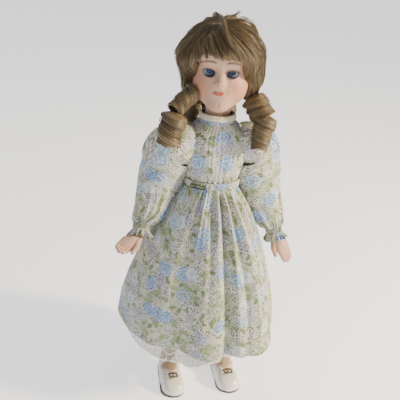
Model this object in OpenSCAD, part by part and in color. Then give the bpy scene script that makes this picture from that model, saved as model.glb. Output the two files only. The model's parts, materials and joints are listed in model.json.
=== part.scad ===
// Porcelain child doll, about 500 mm tall, standing in a long floral dress.
// The body is a strung ball-jointed body: bisque socket head and hands,
// hollow composition torso and limbs, elastic cord from hook to hook.
// The doll faces -Y and stands on Z = 0. +X is the doll's own left side.
// All sizes are in millimetres.

/* [Body] */
// height of the hip joints above the floor
hip_z = 212; // [190:1:230]
// height of the knee joints above the floor
knee_z = 120; // [100:1:140]
// height of the shoulder joints above the floor
shoulder_z = 348; // [330:1:370]
// sideways place of each shoulder joint
shoulder_x = 44; // [38:1:50]
// sideways place of each foot
foot_x = 38; // [30:1:46]
// wall of the hollow torso
torso_wall = 3; // [2:0.5:5]

/* [Head] */
// height of the middle of the skull
skull_z = 447; // [430:1:460]
// radius of the skull
skull_r = 40; // [34:1:46]
// turn of the head towards the doll's right at rest
head_turn = -16; // [-30:1:30]
// thickness of the bisque
bisque = 3.2; // [2:0.2:5]
// distance from the nose line to the middle of each eye
eye_x = 13; // [12:0.5:14]
// radius of each glass eye
eye_r = 8.2; // [7.6:0.2:8.8]

/* [Dress] */
// height of the skirt's hem
hem_z = 93; // [80:1:120]
// mean radius of the skirt at its hem
hem_r = 101; // [90:1:115]
// depth of the folds at the hem
fold_depth = 5; // [0:0.5:8]
// number of folds round the skirt
folds = 14; // [8:1:24]
// height of the waist seam
waist_z = 296; // [285:1:305]
// half width of the waist
waist_x = 31; // [26:1:36]
// half depth of the waist
waist_y = 24; // [20:1:30]
// height of the petticoat's lower edge
petticoat_z = 80; // [70:1:95]

/* [Shoes] */
// length of each sole
sole_length = 78; // [70:1:90]
// thickness of each sole
sole_t = 3; // [2:0.5:5]

/* [Hidden] */
$fn = 48;
gap = 0.3;                 // free space between bodies that move past each other
mid_x = 4.5;               // puts the middle of the whole doll on the origin
ball_hip = 15;
ball_knee = 11;
ball_shoulder = 10.5;
ball_elbow = 8.5;
ball_wrist = 6;
ball_neck = 16;
neck_z = 375;
neck_r = 15;
upper_arm_length = 76;
forearm_length = 62;
hand_length = 47;
hip_x = 20;
knee_x = 28;
ankle_z = 34;
ankle_y = 8;
elastic_r = 1.2;
eye_y = -23.8;
eye_z = skull_z - 13;
heel_r = 12.5;
toe_r = 16.5;
heel_y = 13;
toe_y = heel_y + heel_r + toe_r - sole_length;
face_half = 31;            // half width of the face where it shows between the hair

function unit(v) = v / norm(v);
function mix(a, b, t) = a + (b - a) * t;
function bezier(a, b, c, t) = mix(mix(a, b, t), mix(b, c, t), t);

// The right arm is bent and its hand turned out; the left arm hangs.
right_shoulder = [-shoulder_x, 0, shoulder_z];
right_elbow = right_shoulder + upper_arm_length * unit([-33, 15, -67]);
right_wrist = right_elbow + forearm_length * unit([-12, -34, -47]);
right_tip = right_wrist + hand_length * unit([-34, -28, -14]);
left_shoulder = [shoulder_x, 0, shoulder_z];
left_elbow = left_shoulder + upper_arm_length * unit([30, 11, -69]);
left_wrist = left_elbow + forearm_length * unit([15, -13, -58]);
left_tip = left_wrist + hand_length * unit([22, -20, -40]);

function shoulder(s) = s < 0 ? right_shoulder : left_shoulder;
function elbow(s) = s < 0 ? right_elbow : left_elbow;
function wrist(s) = s < 0 ? right_wrist : left_wrist;
function tip(s) = s < 0 ? right_tip : left_tip;
function hip(s) = [s * hip_x, 0, hip_z];
function knee(s) = [s * knee_x, 0, knee_z];
function ankle(s) = [s * (foot_x - 1), ankle_y, ankle_z];

// ---------- helpers ----------

module placed() {
  translate([mid_x, 0, 0])
    children();
}

module at_head() {
  rotate([0, 0, head_turn])
    children();
}

// Turns +Z onto the line from a to b and moves there.
module along(a, b) {
  d = b - a;
  translate(a)
    rotate([0, acos(d[2] / norm(d)), atan2(d[1], d[0])])
      children();
}

module rod(a, b, r1, r2) {
  along(a, b)
    cylinder(h = norm(b - a), r1 = r1, r2 = r2);
}

// Closed shell between an outer and an inner stack of rings with open ends.
module ring_shell(outer, inner) {
  rows = len(outer);
  cols = len(outer[0]);
  points = concat([for (ring = outer) for (p = ring) p], [for (ring = inner) for (p = ring) p]);
  base = rows * cols;
  faces = concat(
    [for (i = [0 : rows - 2]) for (j = [0 : cols - 1])
      [i * cols + j, (i + 1) * cols + j, (i + 1) * cols + (j + 1) % cols, i * cols + (j + 1) % cols]],
    [for (i = [0 : rows - 2]) for (j = [0 : cols - 1])
      [base + i * cols + j, base + i * cols + (j + 1) % cols,
       base + (i + 1) * cols + (j + 1) % cols, base + (i + 1) * cols + j]],
    [for (j = [0 : cols - 1]) [j, (j + 1) % cols, base + (j + 1) % cols, base + j]],
    [for (j = [0 : cols - 1])
      [(rows - 1) * cols + j, base + (rows - 1) * cols + j,
       base + (rows - 1) * cols + (j + 1) % cols, (rows - 1) * cols + (j + 1) % cols]]
  );
  polyhedron(points = points, faces = faces, convexity = 6);
}

// A level ring with half width x, half depth y and n waves of depth w.
function level_ring(z, x, y, w, n, cols) =
  [for (j = [0 : cols - 1])
    let (a = 360 * j / cols, k = w * cos(n * a))
    [(x + k) * cos(a), (y + k) * sin(a), z]];

// Rings with rows of [z, x, y, wave depth], drawn in by t.
function level_rings(rows, t, n, cols) =
  [for (r = rows) level_ring(r[0], r[1] - t, r[2] - t, r[3], n, cols)];

module level_shell(rows, t, n, cols) {
  ring_shell(level_rings(rows, 0, n, cols), level_rings(rows, t, n, cols));
}

// Rings round a bent centre line a-b-c that ends square to the way e,
// with rows of [part of the way, radius].
function bent_ring(a, b, c, e, t, r, cols) =
  let (p = bezier(a, b, c, t), d = unit(mix(unit(mix(b - a, c - b, t)), e, pow(t, 4))),
       u = unit(cross(d, [0, 1, 0])), v = cross(d, u))
  [for (j = [0 : cols - 1]) p + r * cos(360 * j / cols) * u + r * sin(360 * j / cols) * v];

module bent_shell(a, b, c, e, rows, t) {
  cols = 24;
  ring_shell([for (r = rows) bent_ring(a, b, c, e, r[0], r[1], cols)],
             [for (r = rows) bent_ring(a, b, c, e, r[0], r[1] - t, cols)]);
}

module ring(z, r_out, r_in, h) {
  translate([0, 0, z])
    difference() {
      cylinder(h = h, r = r_out);
      translate([0, 0, -1])
        cylinder(h = h + 2, r = r_in);
    }
}

// ---------- body ----------

torso_rows = [
  [206, 24, 18, 0], [212, 32, 23, 0], [224, 34, 25, 0], [244, 33, 24, 0], [266, 29, 21, 0],
  [288, 26, 19, 0], [306, 28, 20, 0], [324, 32, 22.5, 0], [342, 35, 23, 0], [354, 33, 21, 0],
  [362, 26, 19, 0], [369, 20.5, 18.5, 0]
];

module torso() {
  color([0.86, 0.72, 0.60])
    placed()
      difference() {
        union() {
          level_shell(torso_rows, torso_wall, 1, 40);
          // floor of the pelvis, with the leg sockets in it
          translate([0, 0, 206])
            linear_extrude(4)
              polygon([for (p = level_ring(0, 23.9, 17.9, 0, 1, 40)) [p[0], p[1]]]);
          ring(358.6, 17.6, 5, 9.2);
        }
        for (s = [-1, 1]) {
          translate(hip(s))
            sphere(ball_hip + gap);
          translate(shoulder(s))
            sphere(ball_shoulder + gap);
        }
        translate([0, 0, neck_z])
          sphere(ball_neck + gap);
        // the arm elastic leaves through both sides
        rod([-shoulder_x, 0, shoulder_z], [shoulder_x, 0, shoulder_z], 2.6, 2.6);
      }
}

// One loop of elastic from the neck hook down to each hip bar.
module body_elastic() {
  fork = [0, 0, 300];
  color([0.93, 0.92, 0.88])
    placed() {
      rod([0, 0, 349.5], fork, elastic_r, elastic_r);
      translate(fork)
        sphere(elastic_r * 1.6);
      for (s = [-1, 1]) {
        rod(fork, hip(s) + [0, 0, 4.2], elastic_r, elastic_r);
        translate(hip(s))
          rotate([0, 90, 0])
            ring(-1.2, 4.4, 1.9, 2.4);
      }
    }
}

// Elastic from shoulder to shoulder, on the shoulder axis.
module arm_elastic() {
  reach = shoulder_x - 4;
  color([0.93, 0.92, 0.88])
    placed()
      translate([0, 0, shoulder_z])
        // a run each side: the neck hook hangs between them
        for (s = [-1, 1])
          rod([s * 2.2, 0, 0], [s * reach, 0, 0], elastic_r, elastic_r);
}

// ---------- head ----------

// Skull, cheeks and chin in one round form, drawn in by t.
module skull_form(t) {
  hull() {
    translate([0, 5, skull_z])
      sphere(skull_r - t, $fn = 32);
    translate([0, -4, skull_z - 21])
      sphere(skull_r - 6.5 - t, $fn = 32);
    translate([0, -25, skull_z - 41])
      sphere(13 - t, $fn = 32);
  }
}

module ears(r) {
  for (s = [-1, 1])
    translate([s * 36.2, 3, skull_z - 16])
      sphere(r);
}

module head() {
  color([0.95, 0.80, 0.70])
    placed()
      at_head()
        difference() {
          union() {
            skull_form(0);
            // nose, lips, cheeks and ears
            rod([0, -37.5, skull_z - 8], [0, -42.5, skull_z - 21], 2, 3.6);
            translate([0, -42.3, skull_z - 21.5])
              sphere(3.6);
            translate([0, -35.8, skull_z - 34])
              sphere(4);
            ears(5);
            translate([0, 0, neck_z])
              sphere(ball_neck);
            translate([0, 0, neck_z + 2])
              cylinder(h = 32, r1 = neck_r, r2 = neck_r + 1);
          }
          skull_form(bisque);
          // crown opening under the pate
          translate([-60, -60, skull_z + 24])
            cube([120, 120, 40]);
          // bore of the neck, with the seat of the neck button
          translate([0, 0, neck_z - 20])
            cylinder(h = 26, r = 4);
          translate([0, 0, neck_z - 6])
            cylinder(h = 44, r = neck_r - bisque);
          // eye sockets, open to the front as rounded slots
          for (s = [-1, 1]) {
            translate([s * eye_x, eye_y, eye_z])
              sphere(eye_r + 0.2);
            for (k = [-1, 0, 1])
              rod([s * eye_x + 2.3 * k, eye_y, eye_z], [s * eye_x + 2.3 * k, -50, eye_z],
                  3.9 - 0.7 * abs(k), 3.9 - 0.7 * abs(k));
          }
        }
}

module glass_eye(s) {
  color([0.35, 0.50, 0.72])
    placed()
      at_head()
        translate([s * eye_x, eye_y, eye_z])
          sphere(eye_r);
}

module right_eye() {
  glass_eye(-1);
}

module left_eye() {
  glass_eye(1);
}

// Plaster that holds both eyes from behind.
module eye_plaster() {
  color([0.90, 0.89, 0.85])
    placed()
      at_head()
        difference() {
          for (s = [-1, 1])
            rod([s * eye_x, eye_y + 4, eye_z], [s * eye_x * 0.92, eye_y + 13, eye_z], 7.5, 6);
          for (s = [-1, 1])
            translate([s * eye_x, eye_y, eye_z])
              sphere(eye_r + 0.1);
        }
}

// Wooden half ball that seats in the neck and carries the hook.
module neck_button() {
  color([0.72, 0.52, 0.32])
    placed()
      translate([0, 0, neck_z - 5.8])
        difference() {
          cylinder(h = 6, r1 = 7, r2 = 9);
          translate([0, 0, -1])
            cylinder(h = 8, r = 1.3);
        }
}

module neck_hook() {
  color([0.62, 0.62, 0.64])
    placed() {
      translate([0, 0, neck_z - 21])
        cylinder(h = 23, r = 1.1);
      translate([0, 0, neck_z + 0.4])
        cylinder(h = 1.6, r = 3);
      translate([0, -1.3, neck_z - 22.2])
        rotate([0, 90, 0])
          rotate_extrude()
            translate([2.2, 0])
              circle(r = 0.9);
    }
}

module pate() {
  color([0.80, 0.72, 0.58])
    placed()
      at_head()
        translate([0, 5, skull_z])
          difference() {
            sphere(skull_r);
            sphere(skull_r - 1.6);
            translate([-60, -60, -60])
              cube([120, 120, 84.2]);
          }
}

module wig_cap() {
  color([0.55, 0.42, 0.26])
    placed()
      at_head()
        difference() {
          translate([0, 5, skull_z])
            sphere(skull_r + 1);
          translate([0, 5, skull_z])
            sphere(skull_r + 0.3);
          // open below a slanting hair line
          translate([0, 5, skull_z])
            rotate([-23, 0, 0])
              translate([-60, -60, -68])
                cube([120, 120, 60]);
        }
}

// The body of the wig: a side-swept fringe and thick sides over the ears.
module hair() {
  color([0.66, 0.48, 0.27])
    placed()
      at_head()
        difference() {
          union() {
            translate([0, 4, skull_z + 1])
              sphere(skull_r + 10);
            for (s = [-1, 1])
              rod([s * 37, 4, skull_z + 4], [s * 39, 2, skull_z - 42], 13, 12);
            rod([0, 26, skull_z - 4], [0, 26, skull_z - 44], 24, 18);
          }
          skull_form(-1.6);
          ears(5.8);
          // the face shows below the fringe
          translate([0, -80, skull_z - 27])
            rotate([-90, 0, 0])
              cylinder(h = 66, r = face_half);
          translate([-face_half, -80, skull_z - 70])
            cube([2 * face_half, 66, 43]);
          translate([0, 0, skull_z - 70])
            cylinder(h = 50, r = neck_r + 4);
          translate([-80, -80, skull_z - 120])
            cube([160, 160, 72]);
        }
}

// A hanging ringlet: a stack of rolled turns, open in the middle.
module ringlet(top, bottom, radius, strand, turns) {
  along(top, bottom)
    for (i = [0 : turns - 1])
      translate([0, 0, norm(bottom - top) * i / (turns - 1)])
        rotate_extrude()
          translate([radius * (1 - 0.12 * i / turns), 0])
            circle(r = strand);
}

module right_curls() {
  color([0.62, 0.44, 0.24])
    placed() {
      ringlet([-46, -24, 402], [-52, -28, 391], 7, 5, 3);
      ringlet([-57, -32, 382], [-61, -36, 357], 9, 5, 4);
    }
}

module left_curls() {
  color([0.62, 0.44, 0.24])
    placed() {
      ringlet([43, -21, 393], [47, -25, 385], 8, 5, 2);
      ringlet([50, -32, 374], [52, -37, 350], 7.5, 5, 4);
    }
}

module back_curls() {
  color([0.58, 0.41, 0.22])
    placed()
      for (i = [-1, 0, 1])
        ringlet([i * 21, 40 - 3 * abs(i), 396], [i * 24, 44 - 4 * abs(i), 352], 6.5, 5, 6);
}

// ---------- arms ----------

module upper_arm(s) {
  a = shoulder(s);
  b = elbow(s);
  d = unit(b - a);
  color([0.88, 0.73, 0.61])
    placed()
      difference() {
        union() {
          translate(a)
            sphere(ball_shoulder);
          rod(a + 4 * d, b - 3.6 * d, 7.2, 9.6);
        }
        translate(b)
          sphere(ball_elbow + gap);
        // stringing bores: along the shoulder axis and down the arm
        translate(a)
          rotate([0, 90, 0])
            cylinder(h = 40, r = 3.2, center = true);
        rod(a, b, 2.6, 2.6);
      }
}

module arm_cord(s) {
  a = shoulder(s);
  b = elbow(s);
  d = unit(b - a);
  color([0.93, 0.92, 0.88])
    placed()
      rod(a + 4.6 * d, b - 9.4 * d, elastic_r, elastic_r);
}

module forearm(s) {
  a = elbow(s);
  b = wrist(s);
  d = unit(b - a);
  bend_axis = unit(cross(a - shoulder(s), d));
  color([0.88, 0.73, 0.61])
    placed()
      difference() {
        union() {
          translate(a)
            sphere(ball_elbow);
          rod(a + 4 * d, b - 3 * d, 5.6, 7);
        }
        translate(b)
          sphere(ball_wrist + gap);
        rod(a + 2 * d, b, 2, 2);
        // cross bore for the bar that the hook hangs on
        rod(a - 10 * bend_axis, a + 10 * bend_axis, 0.9, 0.9);
      }
}

module wrist_hook(s) {
  a = elbow(s);
  b = wrist(s);
  d = unit(b - a);
  color([0.62, 0.62, 0.64])
    placed()
      rod(a + 2.4 * d, b - 7.4 * d, 0.9, 0.9);
}

// Bisque hand with a ball at the wrist and five fingers held together.
module hand(s) {
  a = wrist(s);
  b = tip(s);
  n = norm(b - a);
  color([0.95, 0.80, 0.70])
    placed() {
      translate(a)
        sphere(ball_wrist);
      along(a, b) {
        cylinder(h = n * 0.4, r1 = 4.2, r2 = 5);
        hull() {
          translate([0, 0, n * 0.26])
            sphere(4.8, $fn = 24);
          for (k = [-1, 1])
            translate([k * 1.2, k * 5, n * 0.55])
              sphere(3.2, $fn = 24);
        }
        for (k = [0 : 3])
          translate([0.7 * k - 1, 3.9 * k - 5.9, n * 0.55])
            rotate([-(k - 1.5) * 4, 0, 0]) {
              cylinder(h = n * (0.36 - 0.03 * abs(k - 1.6)), r1 = 2.7, r2 = 1.9);
              translate([0, 0, n * (0.36 - 0.03 * abs(k - 1.6))])
                sphere(1.9);
            }
        translate([-1, -5, n * 0.32])
          rotate([26, -8, 0]) {
            cylinder(h = n * 0.3, r1 = 3, r2 = 2.1);
            translate([0, 0, n * 0.3])
              sphere(2.1);
          }
      }
    }
}

module right_upper_arm() { upper_arm(-1); }
module left_upper_arm() { upper_arm(1); }
module right_arm_cord() { arm_cord(-1); }
module left_arm_cord() { arm_cord(1); }
module right_forearm() { forearm(-1); }
module left_forearm() { forearm(1); }
module right_wrist_hook() { wrist_hook(-1); }
module left_wrist_hook() { wrist_hook(1); }
module right_hand() { hand(-1); }
module left_hand() { hand(1); }

// ---------- legs ----------

module thigh(s) {
  a = hip(s);
  b = knee(s);
  d = unit(b - a);
  color([0.88, 0.73, 0.61])
    placed()
      difference() {
        union() {
          translate(a)
            sphere(ball_hip);
          rod(a + 5 * d, b - 5 * d, 13, 12.4);
        }
        translate(b)
          sphere(ball_knee + gap);
        // slot for the elastic, with a bar left across it
        difference() {
          union() {
            translate(a + [-5, -13, 0])
              cube([10, 26, 20]);
            translate(a)
              rotate([0, 90, 0])
                cylinder(h = 10, r = 5.2, center = true);
          }
          translate(a)
            rotate([0, 90, 0])
              cylinder(h = 12, r = 1.6, center = true);
        }
        rod(a + 8 * d, b, 2.6, 2.6);
      }
}

module leg_cord(s) {
  a = hip(s);
  b = knee(s);
  d = unit(b - a);
  color([0.93, 0.92, 0.88])
    placed()
      rod(a + 8.6 * d, b - 12 * d, elastic_r, elastic_r);
}

// Lower leg and foot, made thicker by g for what is worn over it.
module leg_form(s, g) {
  a = knee(s);
  b = ankle(s);
  n = norm(b - a);
  along(a, b)
    rotate_extrude()
      polygon([[0, 4], [9 + g, 4], [12 + g, 24], [12.4 + g, 36], [11 + g, 56], [8.4 + g, n], [0, n]]);
  hull() {
    translate(b)
      sphere(8.6 + g, $fn = 24);
    translate([s * foot_x, ankle_y + 5, 14])
      sphere(9 + g, $fn = 24);
  }
  hull() {
    translate([s * foot_x, ankle_y + 2, 14])
      sphere(8 + g, $fn = 24);
    translate([s * foot_x, -6, 15])
      sphere(9.6 + g, $fn = 24);
    translate([s * (foot_x + 0.5), -32, 11])
      sphere(5.6 + g, $fn = 24);
    for (k = [-1, 1])
      translate([s * foot_x + k * 7, -28, 10])
        sphere(4.6 + g, $fn = 24);
  }
}

module lower_leg(s) {
  color([0.88, 0.73, 0.61])
    placed()
      difference() {
        union() {
          translate(knee(s))
            sphere(ball_knee);
          leg_form(s, 0);
        }
        rod(knee(s), knee(s) + [0, 0, -14], 2, 2);
        // cross bore for the bar that the hook hangs on
        translate(knee(s))
          rotate([0, 90, 0])
            cylinder(h = 24, r = 0.9, center = true);
      }
}

// Fine stocking over the foot and lower leg.
module stocking(s) {
  color([0.86, 0.70, 0.56])
    placed()
      difference() {
        leg_form(s, 0.8);
        leg_form(s, 0.15);
        translate([s * foot_x - 40, -40, knee_z - 22])
          cube([80, 80, 60]);
      }
}

module right_thigh() { thigh(-1); }
module left_thigh() { thigh(1); }
module right_leg_cord() { leg_cord(-1); }
module left_leg_cord() { leg_cord(1); }
module right_lower_leg() { lower_leg(-1); }
module left_lower_leg() { lower_leg(1); }
module right_stocking() { stocking(-1); }
module left_stocking() { stocking(1); }

// ---------- shoes ----------

// Outline of the sole: a heel arc and a toe arc.
function sole_outline(s) = concat(
  [for (a = [0 : 12 : 180]) [s * foot_x + heel_r * cos(a), heel_y + heel_r * sin(a)]],
  [for (a = [180 : 12 : 360]) [s * (foot_x + 0.5) + toe_r * cos(a), toe_y + toe_r * sin(a)]]
);

module sole(s) {
  color([0.16, 0.11, 0.08])
    placed()
      linear_extrude(sole_t)
        polygon(sole_outline(s));
}

module shoe_form(s, g) {
  hull() {
    translate([s * foot_x, heel_y, sole_t - g])
      cylinder(h = 20 + g, r = heel_r - 0.8 - g, $fn = 32);
    translate([s * (foot_x + 0.5), toe_y, sole_t - g])
      cylinder(h = 5 + g, r = toe_r - 0.8 - g, $fn = 32);
    for (k = [-1, 1])
      translate([s * (foot_x + 0.5) + 4 * k, toe_y + 3, 12])
        sphere(8.4 - g, $fn = 32);
  }
}

// Low-cut upper: closed over the toes, open over the instep.
module shoe(s) {
  color([0.95, 0.95, 0.93])
    placed()
      difference() {
        shoe_form(s, 0);
        shoe_form(s, 1.4);
        translate([s * foot_x - 9.5, toe_y + 12, 13.5])
          cube([19, 70, 20]);
        translate([s * foot_x - 30, toe_y + 22, 16.5])
          cube([60, 30, 20]);
        translate([s * foot_x, toe_y + 12, 13.5])
          cylinder(h = 20, r = 9.5);
      }
}

// Strap over the instep, from side to side.
module strap(s) {
  color([0.95, 0.95, 0.93])
    placed()
      translate([s * foot_x, -8, 12.5])
        rotate([-90, 0, 0])
          difference() {
            cylinder(h = 6.5, r = 15);
            translate([0, 0, -1])
              cylinder(h = 9, r = 14.1);
            translate([-20, 0.8, -2])
              cube([40, 20, 12]);
          }
}

// Square buckle frame with its tongue.
module buckle(s) {
  color([0.55, 0.42, 0.24])
    placed()
      translate([s * foot_x, toe_y + 3, 21.2])
        rotate([-8, 0, 0]) {
          difference() {
            translate([-6, -5.5, 0])
              cube([12, 11, 1.6]);
            translate([-3.8, -3.3, -1])
              cube([7.6, 6.6, 4]);
          }
          translate([-0.6, -4, 0.4])
            cube([1.2, 8, 0.9]);
        }
}

module right_shoe() { shoe(-1); }
module left_shoe() { shoe(1); }
module right_sole() { sole(-1); }
module left_sole() { sole(1); }
module right_strap() { strap(-1); }
module left_strap() { strap(1); }
module right_buckle() { buckle(-1); }
module left_buckle() { buckle(1); }

// ---------- dress ----------

bodice_rows = [
  [waist_z + 1.4, 32.4, 25.4, 0], [306, 35.2, 26.6, 0], [318, 38.6, 28, 0], [332, 41.4, 28.6, 0],
  [345, 41.6, 27.6, 0], [355, 38, 25.4, 0], [363, 30, 23.2, 0], [369.4, 22.6, 21.4, 0]
];

module bodice() {
  color([0.86, 0.86, 0.80])
    placed()
      difference() {
        level_shell(bodice_rows, 1.2, 1, 44);
        for (s = [-1, 1])
          translate(shoulder(s))
            rotate([0, 90, 0])
              cylinder(h = 40, r = 13.5, center = true);
        // back opening, closed by the snaps
        translate([-0.25, 10, waist_z + 20])
          cube([0.5, 30, 90]);
      }
}

module collar() {
  color([0.88, 0.88, 0.82])
    placed()
      ring(369.8, 21.8, 20.6, 9.6);
}

module collar_lace() {
  color([0.95, 0.93, 0.86])
    placed()
      translate([0, 0, 379.6])
        difference() {
          cylinder(h = 4.4, r1 = 21.8, r2 = 23.4);
          translate([0, 0, -0.01])
            cylinder(h = 4.5, r1 = 21, r2 = 22.6);
        }
}

// Three snap fasteners down the back opening.
module back_snaps() {
  color([0.72, 0.72, 0.74])
    placed()
      for (p = [[27.3, waist_z + 12], [28.7, waist_z + 34], [27.8, waist_z + 51]])
        translate([4, p[0], p[1]])
          rotate([-90, 0, 0])
            cylinder(h = 1.6, r = 3.2);
}

module waistband() {
  rows = [[waist_z - 6, waist_x + 2, waist_y + 2, 0], [waist_z + 1, waist_x + 2, waist_y + 2, 0]];
  color([0.84, 0.85, 0.82])
    placed()
      level_shell(rows, 1.2, 1, 44);
}

module long_loop(length, r) {
  for (k = [-1, 1])
    translate([k * length / 2, 0])
      circle(r = r);
  translate([-length / 2, -r])
    square([length, 2 * r]);
}

// Thin dark cord loop on the waist seam, on the doll's right.
module waist_loop() {
  color([0.12, 0.10, 0.10])
    placed()
      translate([-22, -21.4, waist_z - 4])
        rotate([90, 0, -32])
          linear_extrude(1.2)
            difference() {
              long_loop(16, 2.6);
              long_loop(16, 1.5);
            }
}

function skirt_half(z, top, low, power) =
  let (t = (waist_z - 6.4 - z) / (waist_z - 6.4 - hem_z)) mix(top, low, pow(t, power));

module skirt() {
  rows = [for (z = [hem_z, 125, 160, 195, 225, 250, 270, 282, waist_z - 6.4])
    [z, skirt_half(z, waist_x + 2, hem_r, 0.74), skirt_half(z, waist_y + 2, hem_r, 0.74),
     skirt_half(z, 0.4, fold_depth, 0.8)]];
  color([0.85, 0.86, 0.80])
    placed()
      level_shell(rows, 1.2, folds, 70);
}

module petticoat() {
  rows = [for (z = [petticoat_z + 14, 125, 170, 215, 250, 276, waist_z - 8])
    [z, skirt_half(z, waist_x - 1.4, hem_r - 9, 0.78), skirt_half(z, waist_y - 1.4, hem_r - 9, 0.78), 0]];
  color([0.95, 0.94, 0.90])
    placed()
      level_shell(rows, 0.8, 1, 56);
}

module petticoat_lace() {
  z0 = petticoat_z + 13.7;
  r0 = skirt_half(z0, waist_x - 1.4, hem_r - 9, 0.78);
  color([0.97, 0.96, 0.92])
    placed()
      translate([0, 0, petticoat_z])
        difference() {
          cylinder(h = 13.7, r1 = r0 + 3, r2 = r0);
          translate([0, 0, -0.01])
            cylinder(h = 13.8, r1 = r0 + 2.2, r2 = r0 - 0.8);
        }
}

// Short cotton bloomers: a seat and two gathered legs.
module bloomers() {
  crotch_z = 204;
  color([0.95, 0.94, 0.90])
    placed() {
      level_shell([[crotch_z, 39.8, 26, 0], [224, 38, 28.4, 0], [238, 36, 27, 0],
                   [252, 33.6, 24.6, 0]], 0.8, 1, 40);
      for (s = [-1, 1])
        bent_shell([s * hip_x, 0, crotch_z - 0.6], [s * hip_x, 0, 186], [s * 26, 0, 150],
                   unit([s * 6, 0, -36]),
                   [[0, 18.8], [0.4, 19.4], [0.75, 18.6], [0.92, 15.4], [1, 17]], 1);
    }
}

module sleeve(s) {
  a = shoulder(s) + [-s * 6, 0, 3];
  c = wrist(s) + 8 * unit(elbow(s) - wrist(s));
  b = 1.6 * elbow(s) - 0.3 * (a + c);
  rows = [[0, 15.4], [0.05, 17.4], [0.12, 20.6], [0.22, 22.6], [0.36, 23], [0.52, 22.4], [0.68, 20.8],
          [0.82, 18], [0.93, 14], [1, 10.6]];
  color([0.86, 0.87, 0.81])
    placed()
      difference() {
        bent_shell(a, b, c, unit(wrist(s) - elbow(s)), rows, 1.1);
        // keeps clear of the bodice
        ring_shell([for (r = bodice_rows) level_ring(r[0], r[1] + 0.5, r[2] + 0.5, 0, 1, 44)],
                   [for (r = bodice_rows) level_ring(r[0], 4, 4, 0, 1, 44)]);
      }
}

module cuff(s) {
  a = wrist(s);
  d = unit(elbow(s) - a);
  color([0.93, 0.92, 0.86])
    placed()
      along(a + 6.8 * d, a)
        difference() {
          cylinder(h = 4, r = 9.6);
          translate([0, 0, -1])
            cylinder(h = 7, r = 8.4);
        }
}

module ruffle(s) {
  a = wrist(s);
  d = unit(elbow(s) - a);
  color([0.88, 0.88, 0.82])
    placed()
      along(a + 2.7 * d, a)
        difference() {
          cylinder(h = 10, r1 = 10, r2 = 17.6);
          translate([0, 0, -0.01])
            cylinder(h = 10.1, r1 = 9, r2 = 16.6);
        }
}

module right_sleeve() { sleeve(-1); }
module left_sleeve() { sleeve(1); }
module right_cuff() { cuff(-1); }
module left_cuff() { cuff(1); }
module right_ruffle() { ruffle(-1); }
module left_ruffle() { ruffle(1); }

// ---------- pieces ----------

torso();
body_elastic();
arm_elastic();
head();
neck_button();
neck_hook();
right_eye();
left_eye();
eye_plaster();
pate();
wig_cap();
hair();
right_curls();
left_curls();
back_curls();
right_upper_arm();
right_arm_cord();
right_forearm();
right_wrist_hook();
right_hand();
left_upper_arm();
left_arm_cord();
left_forearm();
left_wrist_hook();
left_hand();
right_thigh();
right_leg_cord();
right_lower_leg();
left_thigh();
left_leg_cord();
left_lower_leg();
right_stocking();
right_shoe();
right_sole();
right_strap();
right_buckle();
left_stocking();
left_shoe();
left_sole();
left_strap();
left_buckle();
bodice();
collar();
collar_lace();
back_snaps();
waistband();
waist_loop();
skirt();
petticoat();
petticoat_lace();
bloomers();
right_sleeve();
right_cuff();
right_ruffle();
left_sleeve();
left_cuff();
left_ruffle();
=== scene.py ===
# Looks of the porcelain doll: bisque head and hands, curled wig, floral dress, petticoat, buckled shoes.
# Lengths are in millimetres in the row frame until mesh() turns them into metres. The doll faces -Y.

import json
import math

import bpy
import numpy as np
from mathutils import Matrix, Vector


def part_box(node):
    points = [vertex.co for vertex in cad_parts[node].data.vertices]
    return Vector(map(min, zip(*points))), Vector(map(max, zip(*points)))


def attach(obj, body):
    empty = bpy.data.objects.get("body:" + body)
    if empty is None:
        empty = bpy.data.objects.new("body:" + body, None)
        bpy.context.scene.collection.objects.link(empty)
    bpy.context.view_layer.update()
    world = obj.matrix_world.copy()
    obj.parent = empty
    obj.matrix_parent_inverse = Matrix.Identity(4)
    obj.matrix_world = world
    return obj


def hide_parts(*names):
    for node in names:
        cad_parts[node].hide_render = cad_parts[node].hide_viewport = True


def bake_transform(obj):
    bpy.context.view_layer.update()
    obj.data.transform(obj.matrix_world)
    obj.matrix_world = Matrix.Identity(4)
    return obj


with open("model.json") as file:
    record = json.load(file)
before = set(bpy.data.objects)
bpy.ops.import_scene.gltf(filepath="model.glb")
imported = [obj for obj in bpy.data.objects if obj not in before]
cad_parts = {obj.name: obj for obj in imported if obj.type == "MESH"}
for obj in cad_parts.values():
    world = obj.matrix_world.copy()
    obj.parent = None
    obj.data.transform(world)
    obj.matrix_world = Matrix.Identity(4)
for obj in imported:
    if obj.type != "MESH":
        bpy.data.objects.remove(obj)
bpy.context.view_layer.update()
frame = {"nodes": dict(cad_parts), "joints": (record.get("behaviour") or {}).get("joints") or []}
SCALLOP = 16.5     # width of one scallop of the petticoat edge
NET_DEPTH = 20.0   # depth of the net edge of the petticoat
SIDES = {"right": -1, "left": 1}
JOINT = {j["name"]: np.array(j["pos_m"]) * 1000 for j in frame["joints"]}


# ---------- numbers and shapes ----------

def unit(v):
    v = np.asarray(v, float)
    return v / np.maximum(np.linalg.norm(v, axis=-1, keepdims=True), 1e-9)


def mix(a, b, t):
    return a + (b - a) * t


def smooth(t, lo=0.0, hi=1.0):
    """0 before lo, 1 after hi, smooth between."""
    t = np.clip((np.asarray(t, float) - lo) / (hi - lo), 0, 1)
    return t * t * (3 - 2 * t)


def table(x, points):
    """Piecewise linear values, softened by a short average, through (x, value) points."""
    xs, ys = zip(*points)
    span = (xs[-1] - xs[0]) / len(xs) / 3
    return sum(np.interp(x + k * span, xs, ys) for k in (-1, -0.5, 0, 0.5, 1)) / 5


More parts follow.
